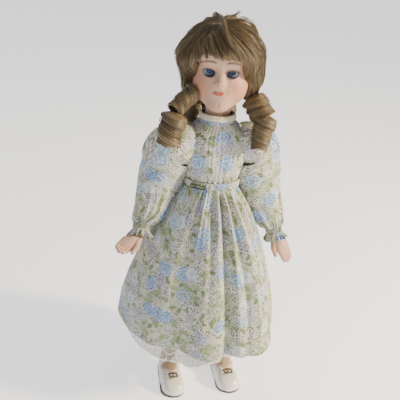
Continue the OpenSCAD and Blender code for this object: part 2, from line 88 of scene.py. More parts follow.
def around(angle, points):
    """Like table(), but round a full turn of 360 degrees."""
    turned = [(a + 360 * k, v) for k in (-1, 0, 1) for a, v in points]
    return table((np.asarray(angle) + 180) % 360 - 180, turned)


def ripple(x, lowest, highest, waves, seed):
    """Smooth noise along x (radians, periodic over a turn), about 1 high."""
    rng = np.random.default_rng(seed)
    total = np.zeros_like(np.asarray(x, float))
    for k in rng.integers(lowest, highest + 1, waves):
        total = total + np.sin(k * x + rng.uniform(0, 2 * np.pi)) * rng.uniform(0.6, 1)
    return total / math.sqrt(waves) * 1.2


def squared(v, power):
    """A sine or cosine flattened at its ends, which turns a circle into a square with round corners."""
    return np.sign(v) * np.abs(v) ** power


def turns(cols, extra=0):
    """Angles of a full turn in cols steps, from the back round to the back again."""
    return np.linspace(-np.pi, np.pi, cols + 1)[:cols + extra]


def middle(node):
    """Middle of a CAD node's box, in mm."""
    lo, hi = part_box(node)
    return np.array((lo + hi) / 2) * 1000


def spline(points, n):
    """n points of a Catmull-Rom curve through the given ones."""
    p = np.asarray(points, float)
    p = np.vstack([2 * p[0] - p[1], p, 2 * p[-1] - p[-2]])
    t = np.linspace(0, len(p) - 3 - 1e-9, n)
    i = t.astype(int)
    f = (t - i)[:, None]
    a, b, c, d = p[i], p[i + 1], p[i + 2], p[i + 3]
    square, cube = 2 * a - 5 * b + 4 * c - d, 3 * b - a - 3 * c + d
    return 0.5 * (2 * b + (c - a) * f + square * f ** 2 + cube * f ** 3)


def mesh(name, verts, faces, material, loop_uv=None, matrix=None):
    """A smooth mesh object from points in mm; loop_uv holds one pair for each face corner, in order."""
    data = bpy.data.meshes.new(name)
    data.from_pydata((np.asarray(verts, float) / 1000).tolist(), [], faces)
    data.polygons.foreach_set("use_smooth", [True] * len(data.polygons))
    if loop_uv is not None:
        layer = data.uv_layers.new(name="UVMap")
        layer.data.foreach_set("uv", np.asarray(loop_uv, np.float32).ravel())
    data.materials.append(material)
    obj = bpy.data.objects.new(name, data)
    bpy.context.scene.collection.objects.link(obj)
    if matrix is not None:
        obj.matrix_world = matrix
    return obj


def grid(name, points, material, uv=None, closed=True, matrix=None, flip=False):
    """A lofted surface over points[row, column]; uv is in mm with one more column when closed."""
    rows, cols = points.shape[:2]
    n = cols if closed else cols - 1
    i, j = np.meshgrid(np.arange(rows - 1), np.arange(n), indexing="ij")
    k = (j + 1) % cols
    quads = np.stack([i * cols + j, i * cols + k, (i + 1) * cols + k, (i + 1) * cols + j], -1).reshape(-1, 4)
    loop_uv = None
    if uv is not None:
        corners = [uv[:-1, :-1], uv[:-1, 1:], uv[1:, 1:], uv[1:, :-1]]
        loop_uv = np.stack(corners, 2).reshape(-1, 4, 2) / 1000
    if flip:
        quads = quads[:, ::-1]
        loop_uv = None if loop_uv is None else loop_uv[:, ::-1]
    return mesh(name, points.reshape(-1, 3), quads.tolist(), material, loop_uv, matrix)


def rings(s, cols):
    """Row value and direction for every point of a surface with the rows s round a full turn."""
    return np.meshgrid(s, turns(cols), indexing="ij")


def cloth_uv(across, down):
    """UV in mm from one value for each column and one for each row."""
    return np.stack(np.meshgrid(across, down), -1)


def tubes(name, paths, radii, material, outward, sides=5, matrix=None):
    """One mesh of many round strands: paths[strand, step], radii[strand, step]."""
    paths, radii = np.asarray(paths, float), np.asarray(radii, float)
    count, steps = paths.shape[:2]
    along = unit(np.gradient(paths, axis=1))
    across = unit(np.cross(along, outward))
    up = np.cross(across, along)
    turn = np.linspace(0, 2 * np.pi, sides, endpoint=False)
    ring = paths[:, :, None] + radii[:, :, None, None] * (
        np.cos(turn)[:, None] * across[:, :, None] + np.sin(turn)[:, None] * up[:, :, None])
    s, i, j = np.meshgrid(np.arange(count), np.arange(steps - 1), np.arange(sides), indexing="ij")
    k = (j + 1) % sides
    base = s * steps * sides
    quads = np.stack([base + i * sides + j, base + i * sides + k,
                      base + (i + 1) * sides + k, base + (i + 1) * sides + j], -1).reshape(-1, 4)
    shade = np.random.default_rng(count).uniform(0, 1, count)[s]
    corners = [np.stack([shade * 0.2 + 0.003 * jj, ii / steps * 0.05], -1)
               for ii, jj in ((i, j), (i, j + 1), (i + 1, j + 1), (i + 1, j))]
    loop_uv = np.stack(corners, 3).reshape(-1, 2)
    ends = []
    for b in range(count):
        first = b * steps * sides
        last = first + (steps - 1) * sides
        ends += [tuple(range(first, first + sides)), tuple(range(last + sides - 1, last - 1, -1))]
    faces = quads.tolist() + ends
    loop_uv = np.vstack([loop_uv, np.zeros((2 * count * sides, 2))])
    return mesh(name, ring.reshape(-1, 3), faces, material, loop_uv, matrix)


def fitted(obj, body, node=None):
    """Hangs a piece on its body, and lets it stand for its CAD node by hiding that node."""
    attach(obj, body)
    if node:
        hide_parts(node)
    return obj


def cloth(obj, body, node):
    """A sheet of cloth that rides on one body and stands for its CAD node."""
    fitted(obj, body, node)
    return obj


# ---------- distance fields, for the round modelled forms ----------

def soft_min(a, b, k):
    """Joins two distances with a fillet of about k."""
    h = np.clip(0.5 + 0.5 * (b - a) / k, 0, 1)
    return mix(b, a, h) - k * h * (1 - h)


def egg(p, centre, radii):
    """Distance to an ellipsoid, near enough for marching."""
    q = (p - np.array(centre, float)) / np.array(radii, float)
    k0 = np.linalg.norm(q, axis=-1)
    k1 = np.linalg.norm(q / np.array(radii, float), axis=-1)
    return k0 * (k0 - 1) / np.maximum(k1, 1e-6)


def pill(p, a, b, ra, rb):
    """Distance to a rod with round ends, from radius ra at a to rb at b."""
    a, b = np.array(a, float), np.array(b, float)
    t = np.clip(((p - a) @ (b - a)) / ((b - a) @ (b - a)), 0, 1)
    return np.linalg.norm(p - a - t[..., None] * (b - a), axis=-1) - mix(ra, rb, t)


def march(field, centre, ways, far=95.0, steps=48):
    """How far the outer surface of a field lies from centre along each unit way."""
    r = np.full(ways.shape[:-1], far)
    for _ in range(steps):
        r = r - 0.85 * field(centre + r[..., None] * ways)
    return np.clip(r, 1, far)


class Reach:
    """march() worked out once over all directions and then read back."""

    def __init__(self, field, centre, rows=230, cols=460):
        rise, turn = np.meshgrid(np.linspace(-np.pi / 2, np.pi / 2, rows), np.linspace(-np.pi, np.pi, cols),
                                 indexing="ij")
        ways = np.stack([np.cos(rise) * np.sin(turn), -np.cos(rise) * np.cos(turn), np.sin(rise)], -1)
        self.values = march(field, centre, ways)

    def __call__(self, ways):
        rows, cols = self.values.shape
        i = (np.arcsin(np.clip(ways[..., 2], -1, 1)) / np.pi + 0.5) * (rows - 1)
        j = (np.arctan2(ways[..., 0], -ways[..., 1]) / (2 * np.pi) + 0.5) * (cols - 1)
        a, b = np.clip(i.astype(int), 0, rows - 2), np.clip(j.astype(int), 0, cols - 2)
        u, v, r = i - a, j - b, self.values
        return mix(mix(r[a, b], r[a, b + 1], v), mix(r[a + 1, b], r[a + 1, b + 1], v), u)


# ---------- materials ----------

class Wire:
    """A socket that adds, multiplies and so on by making Math nodes."""

    def __init__(self, paint, socket):
        self.paint, self.socket = paint, socket

    def __add__(self, o):
        return self.paint.math("ADD", self, o)

    def __radd__(self, o):
        return self.paint.math("ADD", o, self)

    def __sub__(self, o):
        return self.paint.math("SUBTRACT", self, o)

    def __rsub__(self, o):
        return self.paint.math("SUBTRACT", o, self)

    def __mul__(self, o):
        return self.paint.math("MULTIPLY", self, o)

    def __rmul__(self, o):
        return self.paint.math("MULTIPLY", o, self)

    def __truediv__(self, o):
        return self.paint.math("DIVIDE", self, o)


class Paint:
    """A Principled material under construction."""

    def __init__(self, name, **sockets):
        self.material = bpy.data.materials.new(name)
        self.material.use_nodes = True
        self.tree = self.material.node_tree
        self.tree.nodes.clear()
        self.shader = self.node("ShaderNodeBsdfPrincipled")
        out = self.node("ShaderNodeOutputMaterial")
        self.tree.links.new(self.shader.outputs[0], out.inputs[0])
        for key, value in sockets.items():
            self.set(key.replace("_", " "), value)

    def node(self, kind, **settings):
        n = self.tree.nodes.new(kind)
        for key, value in settings.items():
            setattr(n, key, value)
        return n

    def put(self, socket, value):
        if isinstance(value, Wire):
            self.tree.links.new(value.socket, socket)
        elif isinstance(value, tuple) and len(value) == 3 and len(socket.default_value) == 4:
            socket.default_value = (*value, 1)
        else:
            socket.default_value = value

    def set(self, key, value):
        names = {k.lower(): k for k in self.shader.inputs.keys()}
        self.put(self.shader.inputs[names[key.lower()]], value)

    def math(self, kind, *values):
        n = self.node("ShaderNodeMath", operation=kind)
        for socket, value in zip(n.inputs, values):
            self.put(socket, value)
        return Wire(self, n.outputs[0])

    def length(self, a, b):
        return self.math("SQRT", a * a + b * b)

    def step(self, x, lo, hi, to_lo=0.0, to_hi=1.0):
        """A smooth step from to_lo before lo to to_hi after hi."""
        n = self.node("ShaderNodeMapRange", interpolation_type="SMOOTHSTEP")
        for socket, value in zip(n.inputs, (x, lo, hi, to_lo, to_hi)):
            self.put(socket, value)
        return Wire(self, n.outputs[0])

    def blend(self, share, a, b):
        n = self.node("ShaderNodeMix", data_type="RGBA")
        self.put(n.inputs[0], share)
        self.put(n.inputs[6], a)
        self.put(n.inputs[7], b)
        return Wire(self, n.outputs[2])

    def parts(self, vector):
        n = self.node("ShaderNodeSeparateXYZ")
        self.put(n.inputs[0], vector)
        return [Wire(self, s) for s in n.outputs]

    def join(self, x, y, z=0.0):
        n = self.node("ShaderNodeCombineXYZ")
        for socket, value in zip(n.inputs, (x, y, z)):
            self.put(socket, value)
        return Wire(self, n.outputs[0])

    def coords(self, kind="UV"):
        return Wire(self, self.node("ShaderNodeTexCoord").outputs[kind])

    def noise(self, vector, scale, detail=2.0, seed=0.0):
        n = self.node("ShaderNodeTexNoise", noise_dimensions="4D")
        self.put(n.inputs["Vector"], vector)
        n.inputs["W"].default_value = seed
        n.inputs["Scale"].default_value = scale
        n.inputs["Detail"].default_value = detail
        return Wire(self, n.outputs[0])

    def cells(self, vector, scale, random):
        """Random colour and middle of the nearest cell."""
        n = self.node("ShaderNodeTexVoronoi", voronoi_dimensions="2D")
        self.put(n.inputs["Vector"], vector)
        n.inputs["Scale"].default_value = scale
        n.inputs["Randomness"].default_value = random
        return [Wire(self, n.outputs[k]) for k in ("Color", "Position")]

    def bump(self, height, distance, strength=1.0):
        n = self.node("ShaderNodeBump")
        n.inputs["Strength"].default_value = strength
        n.inputs["Distance"].default_value = distance
        self.put(n.inputs["Height"], height)
        self.put(self.shader.inputs["Normal"], Wire(self, n.outputs[0]))


TAU = 6.283


def dimmed(colour, share):
    return tuple(share * c for c in colour)


def floral_print(name):
    """Pale cotton printed with roses, leaves and dotted blossom; UV is the cloth in metres."""
    p = Paint(name, roughness=0.86, sheen_weight=0.12, sheen_roughness=0.5, specular_ior_level=0.25)
    uv = p.coords("UV")
    x, y, _ = p.parts(uv)
    x = x + (p.noise(uv, 260, 2, seed=1) - 0.5) * 0.0032
    y = y + (p.noise(uv, 260, 2, seed=2) - 0.5) * 0.0032

    def motif(cell, dx, dy, random=0.8):
        """Way and distance from the nearest motif's middle in metres, and two random numbers for it."""
        sx, sy = x + dx, y + dy
        colour, place = p.cells(p.join(sx, sy), 1 / cell, random)
        px, py, _ = p.parts(place)
        ox, oy = sx - px, sy - py
        pick, turn, _ = p.parts(colour)
        return ox, oy, p.length(ox, oy), pick, turn

    # ground, with faint washes of green, lilac and straw
    colour = p.blend(p.step(p.noise(uv, 55, 3, seed=3), 0.42, 0.62), (0.47, 0.47, 0.42), (0.33, 0.36, 0.27))
    colour = p.blend(p.step(p.noise(uv, 48, 3, seed=4), 0.50, 0.64, 0, 0.85), colour, (0.36, 0.33, 0.36))
    colour = p.blend(p.step(p.noise(uv, 30, 2, seed=5), 0.54, 0.66, 0, 0.7), colour, (0.58, 0.53, 0.34))

    # leaves in three sizes
    for cell, long, wide, dx, dy, tone in ((0.0105, 0.0052, 0.0027, 0.1, 0.3, (0.13, 0.19, 0.075)),
                                           (0.0080, 0.0036, 0.0017, 0.7, 0.2, (0.21, 0.28, 0.13)),
                                           (0.0140, 0.0068, 0.0036, 0.5, 0.9, (0.27, 0.34, 0.18))):
        ox, oy, _, pick, turn = motif(cell, dx, dy)
        c, s = p.math("COSINE", turn * TAU), p.math("SINE", turn * TAU)
        a, b = (ox * c + oy * s) / long, (oy * c - ox * s) / wide
        body = p.step(a * a + b * b, 0.75, 1.05, 1, 0) * p.step(pick, 0.48, 0.52)
        rib = p.step(p.math("ABSOLUTE", b), 0.05, 0.3, 0.6, 1.0)
        tone = p.blend(rib, tuple(0.55 * t for t in tone), tone)
        colour = p.blend(body * 0.85, colour, tone)

    # dotted white blossom
    _, _, r, pick, _ = motif(0.0200, 0.4, 0.6)
    head = p.step(r, 0.0072, 0.0090, 1, 0) * p.step(pick, 0.30, 0.34)
    colour = p.blend(head * 0.75, colour, (0.62, 0.62, 0.57))
    _, _, r, pick, _ = motif(0.0023, 0.2, 0.8, 0.9)
    dots = p.step(r, 0.00055, 0.00085, 1, 0) * p.step(pick, 0.12, 0.16)
    colour = p.blend(dots * head * 0.95, colour, (0.04, 0.03, 0.05))

    # roses: a scalloped edge and curled rings of petals
    for cell, radius, share, dx, dy, tones in (
            (0.0290, 0.0112, 0.50, 0.0, 0.0, ((0.15, 0.28, 0.52), (0.33, 0.46, 0.60), (0.30, 0.27, 0.32))),
            (0.0340, 0.0096, 0.55, 0.31, 0.83, ((0.52, 0.59, 0.60), (0.10, 0.23, 0.50), (0.36, 0.31, 0.37)))):
        ox, oy, r, pick, turn = motif(cell, dx, dy, 0.7)
        angle = p.math("ARCTAN2", oy, ox)
        lobe = p.math("ABSOLUTE", p.math("COSINE", angle * 2.5 + turn * TAU))
        reach = r / (radius * (0.80 + 0.20 * lobe))
        flower = p.step(reach, 0.92, 1.02, 1, 0) * p.step(pick, share - 0.02, share + 0.02, 1, 0)
        curl = p.math("SINE", reach * 13 + 2.2 * p.math("SINE", angle * 3 + turn * 9) + turn * 20
                      + 5.0 * p.noise(uv, 420, 2, seed=22))
        base = p.blend(p.step(turn, 0.36, 0.38), tones[0], tones[1])
        base = p.blend(p.step(turn, 0.68, 0.70), base, tones[2])
        petal = p.blend(p.step(curl, -0.6, 1.0, 0.0, 0.5), base, (0.62, 0.68, 0.72))
        petal = p.blend(p.step(curl, -1.0, -0.3, 0.45, 0), petal, (0.16, 0.20, 0.30))
        petal = p.blend(p.step(reach, 0.12, 0.3, 0.6, 0), petal, (0.16, 0.22, 0.38))
        edge = p.step(p.noise(uv, 900, 2, seed=23), 0.3, 0.6, 0.72, 0.95)
        colour = p.blend(flower * edge, colour, petal)

    # fine dark speckle in drifts
    drift = p.step(p.noise(uv, 60, 2, seed=6), 0.40, 0.50)
    _, _, r, pick, _ = motif(0.0030, 0.9, 0.1, 1.0)
    speck = p.step(r, 0.00048, 0.00078, 1, 0) * p.step(pick, 0.24, 0.28)
    colour = p.blend(speck * drift * 0.95, colour, (0.045, 0.035, 0.05))
    p.set("Base Color", colour)
    p.bump(p.noise(uv, 2600, 2, seed=7), 0.0002, 0.35)
    return p.material


def plain_cloth(name, colour, weave=3200, rough=0.85):
    """One-colour cloth with a fine uneven weave."""
    p = Paint(name, roughness=rough, sheen_weight=0.15, specular_ior_level=0.25)
    uv = p.coords("UV")
    thread = p.step(p.noise(uv, weave, 3, seed=8), 0.3, 0.7)
    p.set("Base Color", p.blend(thread, dimmed(colour, 0.82), colour))
    p.bump(p.noise(uv, weave, 2, seed=9), 0.0002, 0.5)
    return p.material


def embroidered_net(name):
    """Net worked with scrolls, a vine and a bound edge; u runs round and v down from the top, in metres."""
    p = Paint(name, roughness=0.8, specular_ior_level=0.25)
    x, y, _ = p.parts(p.coords("UV"))
    pitch = SCALLOP / 1000
    cell = p.math("FRACT", x / pitch) - 0.5
    a, b = cell * pitch, y - 0.0135
    r = p.length(a, b)
    angle = p.math("ARCTAN2", b, a)
    scroll = p.math("ABSOLUTE", p.math("SINE", angle * 0.5 + r * 520))
    scroll = p.step(scroll, 0.28, 0.5, 1, 0) * p.step(r, 0.0060, 0.0068, 1, 0)
    edge = p.step(y, NET_DEPTH / 1000 - 0.0040, NET_DEPTH / 1000 - 0.0030)
    wave = p.math("ABSOLUTE", y - 0.0062 - 0.0022 * p.math("COSINE", x * (TAU / pitch)))
    vine = p.step(wave, 0.0006, 0.0011, 1, 0)
    seam = p.step(y, 0.0008, 0.0018, 1, 0)
    thread = p.math("MAXIMUM", p.math("MAXIMUM", scroll, edge), p.math("MAXIMUM", vine, seam))
    # the net ground is its own pale colour darkened as painted shade, for the hollow under the skirt seen
    # through it; the threads keep their cream
    p.set("Base Color", p.blend(thread, (0.34, 0.33, 0.31), (0.72, 0.70, 0.64)))
    p.set("Alpha", p.step(thread, 0.1, 0.6, 0.55, 1.0))
    p.bump(thread, 0.0005, 0.8)
    return p.material


def hair_paint(name, light=1.0):
    """Golden brown fibre, streaked along v."""
    p = Paint(name, roughness=0.40, specular_ior_level=0.55, sheen_weight=0.1)
    x, y, _ = p.parts(p.coords("UV"))
    fine = p.noise(p.join(x * 900, y * 14), 1.0, 2, seed=11)
    lock = p.noise(p.join(x * 160, y * 9), 1.0, 2, seed=12)
    tone = fine * 0.55 + lock * 0.45
    shade, body, shine = (dimmed(c, light) for c in ((0.035, 0.022, 0.008), (0.115, 0.075, 0.027),
                                                     (0.30, 0.205, 0.078)))
    colour = p.blend(p.step(tone, 0.34, 0.52), shade, body)
    colour = p.blend(p.step(tone, 0.52, 0.68), colour, shine)
    p.set("Base Color", colour)
    p.bump(fine, 0.0006, 0.6)
    return p.material


def bisque_paint(name, face=False):
    """Matte tinted porcelain; with face=True, painted in the head's own frame."""
    p = Paint(name, roughness=0.50, specular_ior_level=0.35, coat_weight=0.04, coat_roughness=0.45)
    at = p.coords("Object")
    skin = p.blend(p.step(p.noise(at, 60, 2, seed=13), 0.35, 0.65), (0.44, 0.275, 0.195), (0.49, 0.315, 0.23))
    if not face:
        skin = p.blend(p.step(p.noise(at, 90, 2, seed=14), 0.45, 0.7, 0, 0.5), skin, (0.56, 0.33, 0.26))
        p.set("Base Color", skin)
        p.bump(p.noise(at, 900, 2, seed=15), 0.0001, 0.3)
        return p.material
    x, y, z = (part * 1000 for part in p.parts(at))
    z = z - EYE[2]
    side = p.math("ABSOLUTE", x)
    front = p.step(y, -12, -4, 1, 0)

    def spot(cx, cz, wide, high, strength):
        a, b = (side - cx) / wide, (z - cz) / high
        return p.math("EXPONENT", (a * a + b * b) * -1.0) * strength

    # cheeks, earlobes and chin
    skin = p.blend(spot(23, -17, 12, 13, 0.62) * front, skin, (0.52, 0.17, 0.085))
    skin = p.blend(spot(36, -15, 4, 7, 0.6), skin, (0.56, 0.25, 0.20))
    skin = p.blend(spot(0, -42, 8, 4, 0.25) * front, skin, (0.56, 0.28, 0.20))
    # eye openings, with painted shade above them and a dark lash line round them
    ring = p.length((side - 13) / EYE_HALF[0], z / EYE_HALF[1])
    skin = p.blend(p.step(ring, 1.05, 1.75, 0.55, 0) * p.step(z, -1, 3) * front, skin, (0.17, 0.10, 0.11))
    rim = p.step(ring, 1.06, 1.22, 0.9, 0) * p.step(z, -3.5, 1, 0.55, 1) * front
    skin = p.blend(rim, skin, (0.035, 0.022, 0.025))
    # painted shade in the chin dimple
    skin = p.blend(spot(0, -35.5, 1.5, 1.7, 0.4) * front, skin, (0.40, 0.19, 0.13))
    # brows: short strokes on a curve
    brow_line = 12.6 + 1.5 * p.math("COSINE", (side - 12) * 0.20)
    stroke = p.noise(p.join(side * 1.1 + z * 0.7, z * 0.25), 1.0, 1, seed=16)
    brow = p.step(p.math("ABSOLUTE", z - brow_line), 0.8, 1.7, 1, 0)
    brow = brow * p.step(side, 4.5, 7) * p.step(side, 21, 24, 1, 0)
    skin = p.blend(brow * p.step(stroke, 0.30, 0.55, 0.35, 0.95) * front, skin, (0.13, 0.05, 0.03))
    # lips
    w = p.math("MAXIMUM", 1 - (x / 7.2) * (x / 7.2), 0.0)
    bow = p.math("EXPONENT", (x / 1.5) * (x / 1.5) * -1.0)
    line = z + 21 - 0.012 * x * x + 0.3
    upper = p.step(line - (2.75 * p.math("POWER", w, 0.7) - 0.75 * bow), -0.3, 0.3, 1, 0)
    upper = upper * p.step(line, -0.35, -0.05)
    lower_w = p.math("MAXIMUM", 1 - (x / 5.8) * (x / 5.8), 0.0)
    lower = p.step(line + 3.0 * p.math("POWER", lower_w, 0.6), -0.35, 0.35) * p.step(line, -0.05, 0.25, 1, 0)
    lips = p.math("MINIMUM", p.math("MAXIMUM", upper, lower), 1.0) * front * p.step(side, 6.7, 7.4, 1, 0)
    skin = p.blend(lips * 0.9, skin, (0.43, 0.085, 0.05))
    parting = p.step(p.math("ABSOLUTE", line), 0.12, 0.5, 1, 0) * p.step(side, 5.4, 6.8, 1, 0) * front
    skin = p.blend(parting * 0.7, skin, (0.26, 0.055, 0.035))
    # nostrils and inner corners of the eyes
    a, b = (side - 2.4) / 0.95, (z + 11.6) / 0.7
    skin = p.blend(p.step(a * a + b * b, 0.5, 1.6, 0.9, 0) * front, skin, (0.26, 0.07, 0.045))
    a, b = (side - 6.6) / 0.6, (z + 0.6) / 0.6
    skin = p.blend(p.step(a * a + b * b, 0.5, 1.6, 0.7, 0) * front, skin, (0.45, 0.10, 0.08))
    p.set("Base Color", skin)
    p.bump(p.noise(at, 900, 2, seed=17), 0.0001, 0.25)
    return p.material


def eye_paint(name):
    """Blown glass eye: white, threaded blue iris and black pupil; it looks along -Y of its own frame."""
    p = Paint(name, roughness=0.16, coat_weight=0.3, coat_roughness=0.03, specular_ior_level=0.3)
    x, y, z = p.parts(p.coords("Object"))
    r = p.length(x, z) * 1000
    r = r + p.step(y, -0.001, 0.001, 0, 20)
    angle = p.math("ARCTAN2", z, x)
    rays = p.noise(p.join(p.math("COSINE", angle) * 6, p.math("SINE", angle) * 6, r * 0.35), 1.6, 3, seed=18)
    iris = p.blend(p.step(rays, 0.35, 0.65), (0.010, 0.024, 0.060), (0.055, 0.10, 0.19))
    iris = p.blend(p.step(r, 3.5, 4.4, 0, 0.9), iris, (0.012, 0.02, 0.06))
    iris = p.blend(p.step(r, 1.5, 1.8, 1, 0), iris, (0.004, 0.004, 0.006))
    p.set("Base Color", p.blend(p.step(r, 4.5, 4.9), iris, (0.36, 0.38, 0.41)))
    return p.material


def solid_paint(name, colour, rough, tone=0.85, scale=120, **more):
    """A plain finish with a little wear in colour and surface; object coordinates."""
    p = Paint(name, roughness=rough, **more)
    at = p.coords("Object")
    wear = p.step(p.noise(at, scale, 4, seed=19), 0.3, 0.7)
    p.set("Base Color", p.blend(wear, dimmed(colour, tone), colour))
    p.bump(p.noise(at, scale * 8, 3, seed=20), 0.0001, 0.3)
    return p.material


# ---------- head ----------

NECK = JOINT["head_turn"]
MX = NECK[0]   # middle of the doll, from side to side
EYE_LINE = middle("left_eye") - middle("right_eye")
TURN = math.atan2(EYE_LINE[1], EYE_LINE[0])
HEAD = Matrix.Translation((NECK[0] / 1000, NECK[1] / 1000, 0)) @ Matrix.Rotation(TURN, 4, "Z")
HEAD_ROWS = np.array(HEAD)[:3, :3]
EYE = np.array([np.linalg.norm(EYE_LINE) / 2, 0, middle("left_eye")[2]])
EYE_HALF = (6.3, 4.3)   # half width and half height of the eye openings
EYE_Y = -25.4           # middle of the glass eyes, in the head's own frame
EYE_BALL, CORNEA = 8.2, 0.5   # radius of a glass eye, and how far its cornea stands out
FACE_MIDDLE = np.array([0, -2, EYE[2] - 4])


def in_head(points):
    """Points of the head's own frame, in the row frame."""
    return np.asarray(points, float) @ HEAD_ROWS.T + np.array([NECK[0], NECK[1], 0])


def head_field(p):
    """The bisque head without its fine features, in the head's own frame."""
    z = EYE[2]
    d = egg(p, (0, 6, z + 14), (38.5, 40, 40))
    d = soft_min(d, egg(p, (0, -5, z - 11), (32, 34, 36.5)), 8)
    for s in (-1, 1):
        d = soft_min(d, egg(p, (s * 14.5, -18.5, z - 19), (15, 16, 16.5)), 8)
    d = soft_min(d, egg(p, (0, -26.5, z - 35), (13.5, 11, 11.5)), 9)
    d = soft_min(d, egg(p, (0, -32, z + 17), (24, 7, 12)), 9)
    d = soft_min(d, egg(p, (0, -34.5, z - 20.5), (11, 4.2, 7.5)), 6)
    d = soft_min(d, pill(p, (0, -31.0, z - 1), (0, -40.2, z - 10), 2.8, 3.9), 6.5)
    for s in (-1, 1):
        d = soft_min(d, egg(p, (s * 3.7, -39.2, z - 10.3), (2.5, 3.1, 2.3)), 2.2)
        d = soft_min(d, egg(p, (s * 34.6, 2, z - 8), (3.2, 5.6, 9.5)), 1.6)
        d = soft_min(d, egg(p, (s * 34.6, -2.5, z - 16.5), (3.2, 3.0, 3.6)), 1.6)
    d = soft_min(d, pill(p, (0, 0, NECK[2]), (0, 0, NECK[2] + 32), 14.6, 16), 6)
    return np.minimum(d, np.linalg.norm(p - np.array([0, 0, NECK[2]]), axis=-1) - 16)


def features(x, z):
    """Height of eye rims, lips, nostrils and dimples over the face, in mm."""
    side = np.abs(x)
    z = z - EYE[2]

    def spot(cx, cz, wide, high):
        return np.exp(-((side - cx) / wide) ** 2 - ((z - cz) / high) ** 2)

    ring = np.hypot((side - 13) / EYE_HALF[0], z / EYE_HALF[1])
    h = -5.2 * smooth(-ring, -1.03, -0.90)
    h = h + (0.55 + 0.35 * (z > 0)) * np.exp(-((ring - 1.12) / 0.10) ** 2)
    h = h - 0.35 * np.exp(-((ring - 1.55) / 0.12) ** 2) * smooth(z, 0, 3)
    h = h - 2.1 * spot(7.2, 1.5, 3.4, 6.5) - 0.8 * spot(13, 5, 8, 4)
    line = z + 21.3 - 0.012 * x * x
    w = np.clip(1 - (x / 7.2) ** 2, 0, 1)
    top = 2.75 * w ** 0.7 - 0.75 * np.exp(-(x / 1.5) ** 2)
    low = -3.0 * np.clip(1 - (x / 5.8) ** 2, 0, 1) ** 0.6
    h = h + 1.0 * smooth(top - line, -0.5, 0.9) * smooth(line, -0.4, 0.3) * (side < 7.6)
    h = h + 1.15 * smooth(line - low, -0.5, 1.1) * smooth(-line, -0.3, 0.5) * (side < 6.2)
    h = h - 0.65 * np.exp(-(line / 0.42) ** 2) * smooth(-side, -7.2, -5.7)
    h = h - 0.75 * spot(8.4, -20.6, 1.6, 2.0) - 0.35 * spot(0, -15.6, 1.3, 2.4)
    h = h - 0.9 * spot(0, -35.5, 1.7, 2.3) - 0.6 * spot(0, -27.0, 6, 1.9)
    return h - 0.9 * spot(2.4, -11.7, 1.0, 0.8)


def face_ways(rows, cols):
    """Unit ways from the middle of the head, closer together at the face."""
    u = np.linspace(-np.pi, np.pi, cols, endpoint=False)
    turn = u - 0.55 * np.sin(u)
    rise = np.linspace(np.pi / 2, -np.pi / 2, rows)
    rise, turn = np.meshgrid(rise, turn, indexing="ij")
    return np.stack([np.cos(rise) * np.sin(turn), -np.cos(rise) * np.cos(turn), np.sin(rise)], -1)


def build_head(paint):
    """The bisque head: the plain field first, then its fine features on the face side."""
    ways = face_ways(300, 400)
    reach = march(head_field, FACE_MIDDLE, ways)
    at = FACE_MIDDLE + reach[..., None] * ways
    reach = reach + features(at[..., 0], at[..., 2]) * smooth(-at[..., 1], 10, 16)
    at = FACE_MIDDLE + reach[..., None] * ways
    return grid("bisque_head", at, paint, matrix=HEAD, flip=True)


def build_eye(side, paint):
    """Glass eye with a slight cornea, set just behind the lids."""
    rise, turn = np.meshgrid(np.linspace(0, np.pi, 49), np.linspace(0, 2 * np.pi, 64, endpoint=False),
                             indexing="ij")
    way = np.stack([np.sin(rise) * np.cos(turn), -np.cos(rise), np.sin(rise) * np.sin(turn)], -1)
    radius = EYE_BALL + CORNEA * np.exp(-(rise / 0.42) ** 2)
    eye = grid(side + "_glass_eye", way * radius[..., None], paint)
    here = in_head([[SIDES[side] * 12.7, EYE_Y, EYE[2]]])[0] / 1000
    eye.matrix_world = Matrix.Translation(here) @ Matrix.Rotation(TURN, 4, "Z")
    fitted(eye, "head", side + "_eye")


def surface_y(x, z):
    """Where the face surface lies at x, z of the head's own frame, found from in front."""
    p = np.stack([x, np.full_like(x, -70.0), z], -1)
    for _ in range(70):
        p[..., 1] += 0.85 * head_field(p)
    return p[..., 1]


def build_lashes(paint):
    """Fine painted lashes stand a little proud of the lids: upper ones long, lower ones short."""
    paths, radii = [], []
    rng = np.random.default_rng(5)
    for s in (-1, 1):
        for angles, out, lift in ((np.radians(np.linspace(12, 165, 19)), 2.0, 1.7),
                                  (np.radians(np.linspace(-155, -25, 12)), 1.0, 0.9)):
            for a in angles:
                edge = np.array([s * (13 + np.cos(a) * EYE_HALF[0] * 1.05), np.sin(a) * EYE_HALF[1] * 1.05])
                tip = edge + lift * np.array([s * np.cos(a) * 0.8 + 0.1, np.sin(a)]) * rng.uniform(0.8, 1.15)
                t = np.linspace(0, 1, 6)
                x, z = mix(edge[0], tip[0], t), mix(edge[1], tip[1], t) + EYE[2]
                y = surface_y(x, z) - 0.5 - 0.25 * out * t
                paths.append(np.stack([x, y, z], -1))
                radii.append(mix(0.13, 0.03, t))
    return tubes("lashes", paths, radii, paint, np.array([0, -1.0, 0.02]), sides=4, matrix=HEAD)


fitted(build_head(bisque_paint("bisque_face", face=True)), "head", "head")
eye_glass = eye_paint("eye_glass")
for side_name in SIDES:
    build_eye(side_name, eye_glass)
fitted(build_lashes(solid_paint("lash_paint", (0.05, 0.03, 0.025), 0.6)), "head")


# ---------- wig ----------

CROWN = np.array([0, 4, EYE[2] + 12])
WHORL = unit(np.array([-7, -15, 48.0]))
FORWARD = unit(np.array([0, -1, 0]) + WHORL[1] * WHORL)
ASIDE = np.cross(WHORL, FORWARD)


